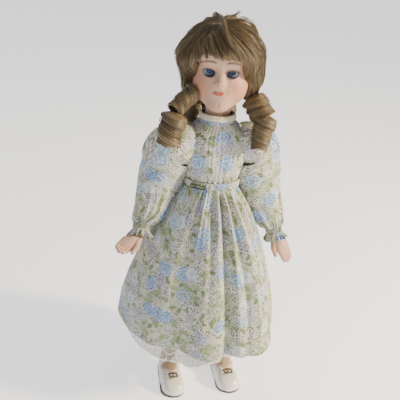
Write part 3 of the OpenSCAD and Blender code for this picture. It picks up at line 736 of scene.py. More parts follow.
def hair_field(p):
    """The outside of the wig above the ringlets: full crown, swept fringe, thick sides."""
    z = EYE[2]
    d = egg(p, (-1, 5, z + 13), (41.5, 45, 44.5))
    d = soft_min(d, egg(p, (2, -18, z + 27), (30, 26, 20)), 9)
    d = soft_min(d, egg(p, (20, -9, z + 15), (25, 28, 19)), 9)
    d = soft_min(d, egg(p, (-25, -9, z + 12), (25, 26, 17)), 9)
    for s in (-1, 1):
        d = soft_min(d, egg(p, (s * 36.5 - 1, 3, z - 10), (9, 17, 36)), 6)
    return soft_min(d, egg(p, (0, 26, z - 10), (38, 22, 40)), 8)


# lower edge of the wig by direction: degrees from the front, mm above the eyes
FRINGE = [(-180, -42), (-110, -42), (-84, -41), (-70, -38), (-60, -26), (-52, -4), (-45, 7), (-32, 12.5),
          (-12, 14.5), (5, 15), (22, 14), (36, 11), (46, 4), (53, -10), (60, -28), (70, -38), (84, -41),
          (110, -42)]
HAIR = Reach(hair_field, CROWN)


def hair_way(turn, fall):
    """Unit way from the crown's middle for the hair that leaves the whorl at turn and has fallen so far."""
    swept = turn + (0.06 + 0.42 * np.exp(-(turn / 1.0) ** 2)) * smooth(fall, 0, 1.5)
    flat = np.cos(swept)[..., None] * FORWARD + np.sin(swept)[..., None] * ASIDE
    return np.cos(fall)[..., None] * WHORL + np.sin(fall)[..., None] * flat


def hair_ends(turn):
    """How far each lock falls from the whorl before it reaches the edge of the wig, in radians."""
    few = np.linspace(-np.pi, np.pi, 240, endpoint=False)
    falls = np.linspace(0.3, 2.75, 90)
    t, f = np.meshgrid(few, falls, indexing="ij")
    ways = hair_way(t, f)
    at = CROWN + HAIR(ways)[..., None] * ways
    level = EYE[2] + around(np.degrees(np.arctan2(at[..., 0], -at[..., 1])), FRINGE)
    below = at[..., 2] < level
    first = np.where(below.any(1), falls[below.argmax(1)], falls[-1])
    kernel = np.hanning(9) / np.hanning(9).sum()
    first = np.convolve(np.concatenate([first[-4:], first, first[:4]]), kernel, "valid")
    return np.interp(turn, np.append(few, np.pi), np.append(first, first[0]))


def hair_point(turn, s, ends, lift=0.0, tuck=9.0):
    """A point of the wig's surface: turn picks the lock, s runs from the whorl (0) to its end (1)."""
    fall = 0.04 + s * (ends - 0.04)
    ways = hair_way(turn, fall)
    reach = HAIR(ways)
    front = smooth(np.abs(turn + 0.25), 1.5, 0.9)
    reach = reach - tuck * smooth(s, 0.84, 1.0) ** 2 * front
    reach = reach - 3.5 * np.exp(-(s / 0.10) ** 2)
    return CROWN + (reach + lift)[..., None] * ways


def combed(turn, s):
    """Height of locks and strands over the wig's surface."""
    wander = turn + 0.09 * np.sin(6 * s + 3 * turn) + 0.03 * np.sin(13 * s + 8 * turn)
    wave = 1.3 * np.sin(11 * s + 2.5 * np.sin(2 * turn) + 3 * turn) * smooth(s, 0.15, 0.5)
    locks = wave + ripple(wander, 3, 6, 3, 20) * 1.6 + ripple(wander, 7, 16, 6, 21) * 1.9
    locks = locks + ripple(wander + 0.04 * s, 22, 50, 9, 22) * 1.25
    strands = ripple(turn + 0.012 * np.sin(9 * s + 5 * turn), 90, 210, 26, 23) * 0.5
    return locks * smooth(s, 0.02, 0.35) + strands * smooth(s, 0.0, 0.2)


def build_wig(paint, dark):
    """The combed outer layer, and a second one under it that closes the edge."""
    cols, s = 1100, np.linspace(0, 1, 64)
    ends = hair_ends(turns(cols)) * (1 + 0.030 * ripple(turns(cols), 12, 60, 10, 24))
    ss, tt = rings(s, cols)
    at = hair_point(tt, ss, ends[None, :], combed(tt, ss))
    outer = grid("wig", at, paint, cloth_uv(turns(cols, 1) * 48, s * 90), matrix=HEAD)
    fitted(outer, "head", "hair")
    cols = 300
    ss, tt = rings(np.linspace(0, 0.985, 30), cols)
    under = -4.0 + 0.6 * ripple(tt, 40, 90, 12, 25)
    at = hair_point(tt, ss, hair_ends(turns(cols))[None, :], under, tuck=11.0)
    uv = cloth_uv(turns(cols, 1) * 48, np.linspace(0, 90, 30))
    fitted(grid("wig_under", at, dark, uv, matrix=HEAD), "head")


def build_locks(paint):
    """Loose strands and thin locks combed over the wig, some a little out of place."""
    rng = np.random.default_rng(31)
    count, steps = 900, 18
    turn = rng.uniform(-np.pi, np.pi, count)
    start, stop = rng.uniform(0.0, 0.45, count), rng.uniform(0.62, 1.02, count)
    s = start[:, None] + (stop - start)[:, None] * np.linspace(0, 1, steps)
    lift = rng.uniform(0.2, 2.8, count)[:, None] * np.sin(np.linspace(0.25, 3.0, steps))[None, :]
    drift = rng.normal(0, 0.05, count)[:, None] * np.linspace(-1, 1, steps)[None, :] ** 2
    tt = turn[:, None] + drift
    at = hair_point(tt, s, hair_ends(turn)[:, None], combed(tt, s) + lift)
    radii = rng.uniform(0.16, 0.42, count)[:, None] * np.sin(np.linspace(0.30, 2.9, steps))[None, :]
    return tubes("wig_strands", at, radii, paint, unit(at - CROWN), sides=5, matrix=HEAD)


def build_flyaways(paint):
    """Frizz at the outline, the stray tuft on top and the loops beside it."""
    rng = np.random.default_rng(32)
    paths, radii, steps = [], [], 14
    t = np.linspace(0, 1, steps)
    for _ in range(260):
        turn, s0 = rng.uniform(-np.pi, np.pi), rng.uniform(0.05, 0.85)
        ends = hair_ends(np.array([turn]))[0]
        bent = turn + 0.1 * t * rng.normal()
        s = np.clip(s0 + rng.uniform(0.06, 0.2) * t, 0, 1.05)
        lift = 0.8 + rng.uniform(0.8, 5.5) * t ** 1.5 + 0.4 * np.sin(6 * t + turn)
        paths.append(hair_point(bent, s, ends, lift))
        radii.append(rng.uniform(0.07, 0.14) * (1 - 0.7 * t))
    # tuft, loops over the crown and the lock that hangs on the fringe: points with their share of the scatter
    z = EYE[2]
    bundles = [
        (16, (1.4, 1.4, 0.8), 0.42 * (1 - 0.75 * t) + 0.05,
         [(0, -8, 52, 0), (4, -7, 58, 0), (9, -7, 61, 0.6), (15, -7, 65, 1.1)]),
        (22, (1.3, 1.3, 1.3), 0.26 * np.sin(0.4 + 2.5 * t),
         [(8, -8, 53, 0), (19, -8, 58, 1), (30, -7, 53, 1), (37, -7, 43, 0.6), (40, -8, 33, 0)]),
        (26, (0.9, 0.9, 0.9), 0.42 * np.sin(0.35 + 2.6 * t),
         [(-4, -16, 61, 0), (-2, -33, 57, 1), (4, -45, 45, 1), (12, -50, 31, 0.7)]),
    ]
    for count, scatter, thick, points in bundles:
        for _ in range(count):
            off = rng.normal(0, 1, 3) * np.array(scatter)
            paths.append(spline([np.array((x, y, z + h)) + share * off for x, y, h, share in points], steps))
            radii.append(thick)
    paths = np.array(paths)
    return tubes("wig_flyaways", paths, radii, paint, unit(paths - CROWN), sides=4, matrix=HEAD)


def curl_axes(top, bottom):
    """Ends of a ringlet, its axis and two ways across it."""
    top, bottom = np.array(top, float), np.array(bottom, float)
    axis = unit(bottom - top)
    u = unit(np.cross(axis, (0, 1, 0.2)))
    return top, bottom, axis, u, np.cross(axis, u)


def ringlet(name, top, bottom, r_top, r_low, wound_turns, paint, seed):
    """A sausage curl: a flat band of hair rolled in a helix, open at its lower end."""
    top, bottom, axis, u, v = curl_axes(top, bottom)
    cols = 150
    s = np.concatenate([np.linspace(0, 1, 120), np.linspace(1, 0.25, 26)])
    inside = np.concatenate([np.zeros(120), np.ones(26)])
    turn = np.linspace(0, 2 * np.pi, cols, endpoint=False)
    ss, tt = np.meshgrid(s, turn, indexing="ij")
    inside = inside[:, None]
    wound = ss * wound_turns + tt / (2 * np.pi)
    step = wound % 1.0
    ridge = mix(-0.5, 0.5, smooth(step, 0, 0.86)) * smooth(-step, -1.0, -0.90) - 0.5 * smooth(step, 0.90, 1.0)
    along = wound * 2 * np.pi / wound_turns
    strands = ripple(along, int(26 * wound_turns), int(70 * wound_turns), 24, seed)
    locks = ripple(along, int(6 * wound_turns), int(14 * wound_turns), 6, seed + 1)
    radius = mix(r_top, r_low, ss ** 0.9) * (1 + 0.16 * ridge + 0.035 * locks)
    radius = radius * np.sqrt(np.clip(smooth(ss, -0.02, 0.16), 0.02, 1)) + 0.26 * strands
    radius = np.where(inside > 0, mix(r_top, r_low, ss) * 0.72 * (1 + 0.02 * locks), radius)
    radius = np.maximum(radius, 0.4)
    ragged = ripple(tt, 1, 3, 3, seed + 2) * 1.2 * (inside == 0) * smooth(ss, 0.9, 1)
    centre = mix(top, bottom + ragged[..., None] * axis, ss[..., None])
    at = centre + radius[..., None] * (np.cos(tt)[..., None] * u + np.sin(tt)[..., None] * v)
    # streaks follow the winding, so u counts across the band and v along it
    edge = np.linspace(0, 2 * np.pi, cols + 1)
    es, et = np.meshgrid(s, edge, indexing="ij")
    uv = np.stack([(es * wound_turns + et / (2 * np.pi)) * 26, et * 12 + 5 * es], -1)
    return grid(name, at, paint, uv)


def curl_strands(name, specs, paint, seed):
    """Loose strands wound round each ringlet."""
    rng = np.random.default_rng(seed)
    paths, radii, steps = [], [], 26
    t = np.linspace(0, 1, steps)
    centres = []
    for top, bottom, r_top, r_low, wound_turns in specs:
        top, bottom, _, u, v = curl_axes(top, bottom)
        for _ in range(30):
            s0, a0, run = rng.uniform(0.05, 0.75), rng.uniform(0, 2 * np.pi), rng.uniform(0.3, 0.9)
            a = a0 - 2 * np.pi * run * t
            s = np.clip(s0 + run * t / wound_turns * 0.9, 0, 1.02)
            r = mix(r_top, r_low, s) * 1.04 + rng.uniform(0.2, 1.3) * np.sin(3.1 * t)
            centre = top + (bottom - top) * s[:, None]
            paths.append(centre + r[:, None] * (np.cos(a)[:, None] * u + np.sin(a)[:, None] * v))
            centres.append(centre)
            radii.append(rng.uniform(0.10, 0.30) * np.sin(0.3 + 2.6 * t))
    paths = np.array(paths)
    return tubes(name, paths, radii, paint, unit(paths - np.array(centres)), sides=4)


hair_light, hair_dark = hair_paint("wig_fibre"), hair_paint("wig_fibre_shade", 0.45)
build_wig(hair_light, hair_dark)
fitted(build_locks(hair_light), "head")
fitted(build_flyaways(hair_light), "head")

# ringlets: top, bottom, radius at each and how often the band goes round
CURLS = {
    "right": [((MX - 31, -15, 412), (MX - 60, -30, 391), 10.5, 9.5, 1.9),
              ((MX - 57, -32, 389), (MX - 66, -35, 351), 15.5, 13.0, 1.9)],
    "left": [((MX + 34, -17, 405), (MX + 50, -27, 381), 14.0, 14.0, 1.7),
             ((MX + 51, -29, 386), (MX + 44, -37, 346), 15.0, 9.5, 2.1)],
    "back": [((MX + x, 40 - 3 * abs(x) / 21, 402), (MX + 1.15 * x, 44 - 4 * abs(x) / 21, 350), 12.0, 9.0, 2.8)
             for x in (-21, 0, 21)],
}
for where, specs in CURLS.items():
    made = [ringlet(f"{where}_ringlet_{i}", *spec, hair_light, 40 + 5 * i + len(where))
            for i, spec in enumerate(specs)]
    made.append(curl_strands(where + "_ringlet_strands", specs, hair_light, 50 + len(where)))
    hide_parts(where + "_curls")
    for obj in made:
        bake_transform(obj)
# ---------- dress ----------

BODICE_FOOT, BODICE_TOP = 296.4, 369.6
BAND_FOOT, BAND_HIGH = 289.4, 8.2
COLLAR_FOOT, COLLAR_HIGH = 368.6, 11
PETTICOAT_TOP = 284
BLOOMERS_TOP, CROTCH, BLOOMERS_FOOT = 252, 204.0, 150
PRINT = floral_print("floral_cotton")
BATISTE = plain_cloth("white_batiste", (0.74, 0.73, 0.69))
LACE = plain_cloth("cream_lace", (0.72, 0.66, 0.52), weave=900)
# half width and half depth of the bodice by height
BODICE = [(290, 33.2, 26.2), (297.4, 32.8, 25.8), (306, 35.6, 27.0), (318, 39.0, 28.4), (332, 41.8, 29.0),
          (345, 42.0, 28.0), (355, 38.4, 25.8), (363, 30.4, 23.6), (369.4, 23.0, 21.8)]


def hoop(z, turn, x_half, y_half):
    """Points of level ovals; turn is 0 at the front and grows towards the doll's left."""
    return np.stack(np.broadcast_arrays(MX + x_half * np.sin(turn), -y_half * np.cos(turn), z), -1)


def build_bodice():
    """Bodice with stitched tucks at the front, a placket in the middle and gathers at the waist."""
    z = np.linspace(BODICE_FOOT, BODICE_TOP, 96)
    zz, tt = rings(z, 420)
    heights, xs, ys = zip(*BODICE)
    front = smooth(-np.abs(tt), -0.85, -0.6)
    tucks = 0.45 * front * np.abs(np.sin(tt * 24)) * smooth(zz, 303, 312)
    placket = 0.8 * smooth(-np.abs(tt - 0.30), -0.085, -0.07)
    for place, wide, deep in ((0.385, 0.02, 0.5), (0.02, 0.016, 0.6), (-0.36, 0.02, 0.6)):
        placket = placket - deep * smooth(-np.abs(tt - place), -wide, -wide / 4)
    soft = ripple(tt + 0.01 * (zz - 330), 6, 13, 5, 61) * 0.7 * (1 - 0.6 * front)
    low = ripple(tt, 24, 44, 8, 62) * 0.55 * smooth(-zz, -308, -297)
    give = tucks + placket + soft + low
    at = hoop(zz, tt, np.interp(zz, heights, xs) + give, np.interp(zz, heights, ys) + give)
    obj = grid("dress_bodice", at, PRINT, cloth_uv(turns(420, 1) * 36, z))
    cloth(obj, "torso", "bodice")


def build_collar():
    """A printed stand collar, and gathered lace that stands on it and folds over its front."""
    s = np.linspace(0, 1, 14)
    ss, tt = rings(s, 420)
    r = 21.9 - 3.4 * ss ** 1.6 + 0.35 * ripple(tt, 20, 44, 8, 63) + 0.4 * np.sin(np.pi * ss)
    at = hoop(COLLAR_FOOT + COLLAR_HIGH * ss, tt, r, r)
    obj = grid("stand_collar", at, PRINT, cloth_uv(turns(420, 1) * 23, s * COLLAR_HIGH + 140))
    cloth(obj, "torso", "collar")
    s = np.linspace(0, 1, 16)
    ss, tt = rings(s, 900)
    wave = 0.9 * ripple(tt, 48, 76, 8, 64) * smooth(ss, 0.05, 0.6)
    rows = [0, 0.3, 0.62, 0.8, 1]
    out = np.interp(s, rows, [0.5, 1.1, 1.5, 1.1, 0.4])[:, None]
    up = np.interp(s, rows, [-6.0, -3.6, -1.0, 0.3, 0.0])[:, None] + 0.5 * np.cos(tt * 60) * (ss > 0.9)
    r = 19.4 + out - 0.45 * up + wave * 0.8
    at = hoop(COLLAR_FOOT + COLLAR_HIGH + 0.2 + up, tt, r, r)
    obj = grid("collar_frill", at, LACE, cloth_uv(turns(900, 1) * 40, s * 10))
    cloth(obj, "torso", "collar_lace")


def build_waistband():
    """The band that joins bodice and skirt."""
    s = np.linspace(0, 1, 12)
    ss, tt = rings(s, 400)
    bulge = 0.5 * np.sin(np.pi * ss) + 0.35 * ripple(tt, 12, 40, 8, 65)
    at = hoop(BAND_FOOT + BAND_HIGH * ss, tt, 34.6 + bulge, 27.6 + bulge)
    obj = grid("dress_waistband", at, PRINT, cloth_uv(turns(400, 1) * 31 + 60, s * 8 + 60))
    cloth(obj, "torso", "waistband")


# the hem's distance from the axis and its height, by direction in degrees from the front
HEM = [(-180, 98), (-165, 107), (-150, 95), (-134, 108), (-118, 97), (-104, 110), (-92, 110), (-78, 108),
       (-64, 108), (-49, 107), (-38, 98), (-30, 94), (-20, 101), (-9, 107), (-1, 101), (6, 91), (13, 93),
       (21, 104), (30, 109), (42, 112), (51, 104), (58, 97), (66, 93), (77, 99), (90, 99), (103, 92),
       (117, 104), (131, 96), (146, 107), (160, 97), (171, 106)]
HEM_Z = [(-180, 92), (-135, 95), (-105, 102), (-85, 104), (-62, 102), (-42, 100), (-24, 99), (-10, 95),
         (2, 92), (30, 91), (60, 92), (120, 92)]
# share of the way from waist to hem that the skirt has spread, by share of its length
FLARE = [(0, 0), (0.05, 0.09), (0.16, 0.29), (0.27, 0.44), (0.41, 0.60), (0.52, 0.70), (0.68, 0.845),
         (0.84, 0.95), (1, 1.0), (1.05, 1.0)]
WAIST_Z = 291.5
EDGE_RADIUS = 92   # radius at which the petticoat's cloth is measured round


def skirt_radius(turn, s):
    """Distance of the skirt from the doll's axis, with s from the waist (0) to the hem (1)."""
    angle = np.degrees(turn)
    hem = around(angle, HEM)
    mean = 103 + 7 * np.cos(turn + 1.45)
    start = 31.5 * 25.5 / np.hypot(25.5 * np.sin(turn), 31.5 * np.cos(turn))
    p = np.interp(s, *zip(*FLARE))
    r = mix(start, mean, p) + (hem - mean) * smooth(s, 0.02, 0.55) ** 0.7 * (0.55 + 0.45 * s)
    drift = turn + 0.05 * np.sin(3 * s + 2 * turn)
    r = r + ripple(drift, 34, 62, 16, 71) * 1.25 * smooth(s, 0, 0.03) * np.exp(-s / 0.13)
    r = r + ripple(drift, 15, 27, 9, 72) * 2.1 * smooth(s, 0, 0.08) * np.exp(-s / 0.42)
    # a few folds that hang from the waist on the doll's left front
    for at, wide, deep, fade in ((0.00, 0.07, 4.4, 3.0), (0.15, 0.05, -5.6, 2.6), (0.29, 0.05, 4.2, 2.2),
                                 (0.42, 0.04, -4.6, 1.6), (0.56, 0.05, 4.0, 1.8), (-0.16, 0.05, -3.6, 0.6),
                                 (-0.33, 0.05, 2.8, 0.45), (0.74, 0.05, -3.6, 1.2), (-0.5, 0.05, -2.0, 0.3)):
        r = r + deep * np.exp(-((turn - at) / wide) ** 2) * smooth(s, 0, 0.10) * np.exp(-s / fade)
    return r + ripple(turn + 0.2 * s, 5, 12, 6, 73) * 0.9 * smooth(s, 0.2, 0.7)


def hem_height(turn):
    return around(np.degrees(turn), HEM_Z)


def build_skirt():
    """The gathered skirt, with its hem turned in at the bottom."""
    cols = 1100
    s = np.concatenate([np.linspace(0, 0.3, 90), np.linspace(0.305, 1, 120), [0.994, 0.965]])
    inward = np.concatenate([np.zeros(208), [0.1, 0.7, 1.3, 1.3]])[:, None]
    ss, tt = rings(s, cols)
    r = skirt_radius(tt, ss) - inward
    at = hoop(mix(WAIST_Z, hem_height(tt), ss), tt, r, r)
    level = skirt_radius(turns(cols, 1)[None, :], s[:, None])
    down = np.broadcast_to(s[:, None] * -222, level.shape)
    uv = np.stack([turns(cols, 1)[None, :] * (0.35 * 104 + 0.65 * level), down], -1)
    obj = grid("dress_skirt", at, PRINT, uv, flip=True)
    cloth(obj, "torso", "skirt")


# where the net edge hangs low (1) and where it stays high (0), by direction
LACE_DROP = [(-180, 0), (-125, 0.2), (-100, 0.7), (-80, 1), (-30, 1), (-10, 0.95), (2, 0.5), (14, 0), (90, 0)]


def lace_low(turn):
    """Height of the petticoat's scalloped edge, which hangs lower on the doll's right."""
    return mix(91.5, 78.5, around(np.degrees(turn), LACE_DROP))


def petticoat_radius(turn, z):
    """Stays a little inside the skirt all the way down."""
    s = np.clip((WAIST_Z - z) / (WAIST_Z - hem_height(turn)), 0, 1)
    own = np.interp(z, [80, 94, 120, 160, 200, 240, PETTICOAT_TOP], [96, 93.5, 89, 79, 67, 52, 30])
    own = own + ripple(turn, 9, 18, 6, 74) * 1.2 * smooth(-z, -260, -180)
    inside = skirt_radius(turn, s) - 2.6
    return np.minimum(own, inside)


def scalloped(turn):
    """Depth of the net edge, cut in scallops."""
    return NET_DEPTH - 3.0 * (1 - np.abs(np.sin(np.pi * (turn * EDGE_RADIUS / SCALLOP - 0.5))) ** 0.8)


def build_petticoat():
    """The cotton petticoat, and the net edge sewn round its foot."""
    cols = 620
    s = np.linspace(0, 1, 70)
    ss, tt = rings(s, cols)
    z = mix(PETTICOAT_TOP, lace_low(tt) + NET_DEPTH - 1, ss)
    r = petticoat_radius(tt, z)
    uv = cloth_uv(turns(cols, 1) * EDGE_RADIUS, s * 190)
    obj = grid("petticoat_cotton", hoop(z, tt, r, r), BATISTE, uv, flip=True)
    cloth(obj, "torso", "petticoat")
    cols, rows = 1260, 22
    s = np.linspace(0, 1, rows)
    ss, tt = rings(s, cols)
    z = lace_low(tt) + NET_DEPTH - 0.4 - ss * scalloped(turns(cols))
    r = petticoat_radius(tt, np.maximum(z, 82)) + 0.6 + 0.5 * ss * ripple(tt, 30, 60, 8, 75)
    across = np.broadcast_to(turns(cols, 1) * EDGE_RADIUS + SCALLOP / 2, (rows, cols + 1))
    uv = np.stack([across, s[:, None] * scalloped(turns(cols, 1))], -1)
    obj = grid("petticoat_net_edge", hoop(z, tt, r, r), embroidered_net("embroidered_net"), uv, flip=True)
    cloth(obj, "torso", "petticoat_lace")


def swept(centre, aims, wide, deep, angle):
    """Rings round centre[row] facing aims[row]; wide lies sideways and deep from front to back."""
    aims = unit(aims)
    fore = unit(np.array([0, -1.0, 0]) + aims[:, 1:2] * aims)
    side = np.cross(fore, aims)
    c, s = np.sin(angle), np.cos(angle)
    return centre[:, None] + (wide * c)[..., None] * side[:, None] + (deep * s)[..., None] * fore[:, None]


def build_bloomers():
    """Bloomers: a seat on the torso and a leg tube at each hip."""
    s = np.linspace(0, 1, 24)
    ss, tt = rings(s, 260)
    rows = [(CROTCH - 3, 39.6, 25.6), (224, 38.2, 28.6), (238, 36.2, 27.2), (BLOOMERS_TOP, 33.8, 24.8)]
    heights, xs, ys = zip(*rows)
    z = mix(CROTCH - 3, BLOOMERS_TOP, ss)
    crease = 0.5 * ripple(tt + 0.01 * z, 16, 40, 9, 81)
    at = hoop(z, tt, np.interp(z, heights, xs) + crease, np.interp(z, heights, ys) + crease)
    seat = grid("bloomers_seat", at, BATISTE, cloth_uv(turns(260, 1) * 34, s * 52))
    cloth(seat, "torso", "bloomers")
    for name, side in SIDES.items():
        t = np.linspace(0, 1, 40)
        line = [(20, CROTCH - 1), (22, 178), (26, BLOOMERS_FOOT)]
        centre = spline([(MX + side * x, 0, z) for x, z in line], 40)
        _, tt = rings(t, 200)
        radius = np.interp(t, [0, 0.4, 0.75, 0.90, 0.93, 1], [18.8, 19.8, 18.4, 15.6, 15.6, 18.2])[:, None]
        radius = radius + 0.6 * ripple(tt, 16, 30, 8, 82) * smooth(t, 0.3, 0.85)[:, None]
        at = swept(centre, np.gradient(centre, axis=0), radius, radius, tt)
        leg = grid(name + "_bloomer_leg", at, BATISTE, cloth_uv(turns(200, 1) * 20, t * 60), flip=True)
        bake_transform(leg)


def build_sleeve(name):
    """A full sleeve gathered into an elastic casing with a ruffle, in an upper and a lower part."""
    side = SIDES[name]
    shoulder, elbow, wrist = (JOINT[f"{name}_{part}"] for part in ("shoulder", "elbow", "wrist"))
    elbow_share, pushed = 0.46, 0.6   # where the two parts meet, and how far the bodice pushes the sleeve out
    fore = unit(wrist - elbow)
    end = wrist - (9 if side < 0 else 3) * fore
    hole = np.array([MX + side * 13, 0, 338.0])
    line = [hole, shoulder + [side * 6, 0, -10], mix(shoulder, elbow, 0.55) + [-side * 4.5, -2, 0],
            elbow + [-side * 11, -7, 2], mix(elbow, wrist, 0.5) + [-side * 6, -4, 1], end]
    rows, cols = 190, 420
    centre = spline(line, rows)
    steps = np.linalg.norm(np.diff(centre, axis=0), axis=1)
    gone = np.concatenate([[0], np.cumsum(steps)])
    t = gone / gone[-1]
    aims = np.gradient(centre, axis=0)
    aims = mix(unit(np.array([side * 1.0, 0, 0.05])), unit(aims), smooth(t, 0.06, 0.42)[:, None])
    aims = mix(unit(aims), fore, smooth(t, 0.86, 1.0)[:, None])
    wide = table(t, [(0, 20), (0.07, 23.5), (0.13, 26.5), (0.22, 29), (0.36, 31.5), (0.5, 30.5), (0.64, 27.5),
                     (0.78, 22.5), (0.9, 17.5), (1, 11)])
    deep = table(t, [(0, 13), (0.07, 17.5), (0.13, 21.5), (0.22, 25), (0.36, 24.5), (0.5, 23.5), (0.64, 21.5),
                     (0.78, 19), (0.9, 16), (1, 11)])
    _, tt = rings(t, cols)
    ts = t[:, None]
    seed = 90 + side
    close = smooth(ts, 0.955, 1.0)
    fold = ripple(tt + 0.12 * np.sin(5 * ts), 9, 17, 7, seed) * 1.5
    fold = fold * smooth(ts, 0.62, 0.9) * (1 - 0.55 * close)
    fold = fold + ripple(tt, 22, 36, 9, seed + 3) * 0.95 * smooth(ts, 0.85, 0.97)
    fold = fold + ripple(tt, 18, 30, 9, seed + 6) * 0.8 * (1 - smooth(ts, 0.02, 0.22)) * smooth(ts, 0, 0.02)
    slope = tt * 1.0 + ts * 5.5
    fold = fold + 1.5 * np.sin(3 * slope + 2 * np.sin(6 * ts)) * np.exp(-((ts - 0.55) / 0.16) ** 2)
    fold = fold + 1.1 * ripple(slope, 2, 5, 4, seed + 9) * np.exp(-((ts - 0.35) / 0.25) ** 2)
    at = swept(centre, aims, wide[:, None] + fold, deep[:, None] + fold, tt)
    # the casing closes it on the wrist
    squeeze = mix(1.0, 0.82, close)
    at = centre[:, None] + (at - centre[:, None]) * squeeze[..., None]
    # beside the bodice the sleeve is pushed part of the way out of it
    inner = 4.0 + np.interp(at[..., 2], *zip(*[(r[0], r[1]) for r in BODICE]))
    beyond = (at[..., 0] - MX) * side
    beside = (at[..., 2] < 362) * (np.abs(at[..., 1]) < 24) * smooth(-ts, -0.45, -0.3) * smooth(ts, 0.2, 0.3)
    at[..., 0] += side * np.maximum(inner - 7.5 - beyond, 0) * beside * pushed
    uv = cloth_uv(turns(cols, 1) * 24 + 75 * side + 30, gone + 20)
    cut = int(np.searchsorted(t, elbow_share))
    upper = grid(name + "_sleeve_top", at[:cut + 1], PRINT, uv[:cut + 1], flip=True)
    lower = grid(name + "_sleeve_low", at[cut:], PRINT, uv[cut:], flip=True)
    arm = unit(elbow - shoulder)
    tuple((shoulder + 24 * arm) / 1000)
    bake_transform(upper)
    tuple((elbow - 16 * arm) / 1000)
    tuple((elbow + 16 * fore) / 1000)
    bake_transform(lower)
    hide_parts(name + "_sleeve")
    # elastic casing and ruffle ride on the forearm
    s = np.linspace(0, 1, 10)
    _, tt = rings(s, 360)
    ring = 9.6 + 0.6 * np.sin(np.pi * s)[:, None] + 0.5 * ripple(tt, 22, 40, 9, seed + 12)
    centre = end + fore * (-1 + 6 * s)[:, None]
    at = swept(centre, np.broadcast_to(fore, centre.shape), ring, ring, tt)
    uv = cloth_uv(turns(360, 1) * 18 + 10, s * 6 + 200 * side)
    casing = grid(name + "_sleeve_casing", at, PRINT, uv, flip=True)
    body = name + "_forearm"
    cloth(casing, body, name + "_cuff")
    s = np.linspace(0, 1, 24)
    ss, tt = rings(s, 640)
    wave = ripple(tt, 9, 13, 4, seed + 15) * 2.3 + ripple(tt, 22, 40, 6, seed + 18) * 0.5
    ring = mix(9.4, 15.2, ss ** 0.8) + wave * smooth(ss, 0.05, 1.0)
    centre = end + fore * (4.4 + 10.0 * s)[:, None]
    at = swept(centre, np.broadcast_to(fore, centre.shape), ring, ring, tt)
    at = at + 0.8 * (ripple(tt, 9, 13, 4, seed + 21) * ss)[..., None] * fore
    uv = cloth_uv(turns(640, 1) * 25, s * 10 + 230 * side)
    ruffle = grid(name + "_sleeve_ruffle", at, PRINT, uv, flip=True)
    cloth(ruffle, body, name + "_ruffle")


build_bodice()
build_collar()
build_waistband()
build_skirt()
build_petticoat()
build_bloomers()
for side_name in SIDES:
    build_sleeve(side_name)


# ---------- hands, legs and shoes ----------

FOOT = 38   # from the doll's middle to the middle of each shoe


def wrapped(name, field, line, rows, cols, far, paint, give=None):
    """A skin round a line: each ring is drawn in until it meets the field's surface."""
    centre = spline(line, rows)
    aims = np.gradient(centre, axis=0)
    ss, tt = rings(np.linspace(0, 1, rows), cols)
    ones = np.ones_like(tt)
    way = swept(np.zeros_like(centre), aims, ones, ones, tt)
    reach = far * ones
    for _ in range(44):
        reach = np.maximum(reach - 0.8 * field(centre[:, None] + reach[..., None] * way), 0.05)
    if give is not None:
        reach = reach + give(tt, ss)
    at = centre[:, None] + reach[..., None] * way
    gone = np.concatenate([[0], np.cumsum(np.linalg.norm(np.diff(centre, axis=0), axis=1))])
    return grid(name, at, paint, cloth_uv(turns(cols, 1) * 9, gone), flip=True)


def joined(*parts):
    """One mesh object out of several."""
    for obj in bpy.context.selected_objects:
        obj.select_set(False)
    for obj in parts:
        obj.select_set(True)
    bpy.context.view_layer.objects.active = parts[0]
    bpy.ops.object.join()
    return parts[0]


def build_hand(name, paint):
    """Small bisque hand: four fingers held together and a thumb apart."""
    side = SIDES[name]
    wrist = JOINT[name + "_wrist"]
    aim = unit(np.array([side * 34.0, -28, -14]) if side < 0 else np.array([22.0, -20, -40]))
    long = 46.0 if side < 0 else 50.0
    thumb_side = np.array([-side * 0.8, -0.45, -0.35])
    thumb_side = unit(thumb_side - (thumb_side @ aim) * aim)
    palm_way = np.cross(aim, thumb_side)

    def place(a, b, c):
        return wrist + a * aim + b * thumb_side + c * palm_way

    def own(p):
        return np.stack([(p - wrist) @ aim, (p - wrist) @ thumb_side, (p - wrist) @ palm_way], -1)

    def hand_field(p):
        q = own(p)
        d = pill(q, (-7, 0, 0), (12, 0, 0), 5.0, 6.0)
        d = soft_min(d, egg(q, (20, 0.3, 0), (14, 9.6, 5.6)), 5)
        fingers = 99.0
        for k in range(4):
            b = (k - 1.5) * 4.1
            tip = long - 5.5 - 1.7 * abs(k - 1.7)
            one = np.minimum(pill(q, (22, b * 1.05, 0), (33, b * 1.0, 0.6), 3.3, 2.9),
                             pill(q, (33, b * 1.0, 0.6), (tip, b * 0.84, 2.0), 2.9, 2.3))
            fingers = soft_min(fingers, one, 0.9)
        return soft_min(d, fingers, 2.5)

    def thumb_field(p):
        q = own(p)
        d = pill(q, (10, 5, 0.8), (21, 11.5, 2.2), 4.8, 3.6)
        return soft_min(d, pill(q, (21, 11.5, 2.2), (30.5, 13.2, 3.2), 3.5, 2.5), 1.5)

    palm_line = [place(-9, 0, 0), place(8, 0, 0), place(26, 0, 0), place(long - 3.3, 0, 1.6)]
    thumb_line = [place(6, 2.5, 0), place(15, 8, 1.3), place(22, 11.9, 2.3), place(32.9, 13.5, 3.3)]
    hand = wrapped(name + "_bisque_hand", hand_field, palm_line, 110, 110, 18, paint)
    thumb = wrapped(name + "_thumb", thumb_field, thumb_line, 50, 48, 9, paint)
    fitted(joined(hand, thumb), name + "_hand", name + "_hand")


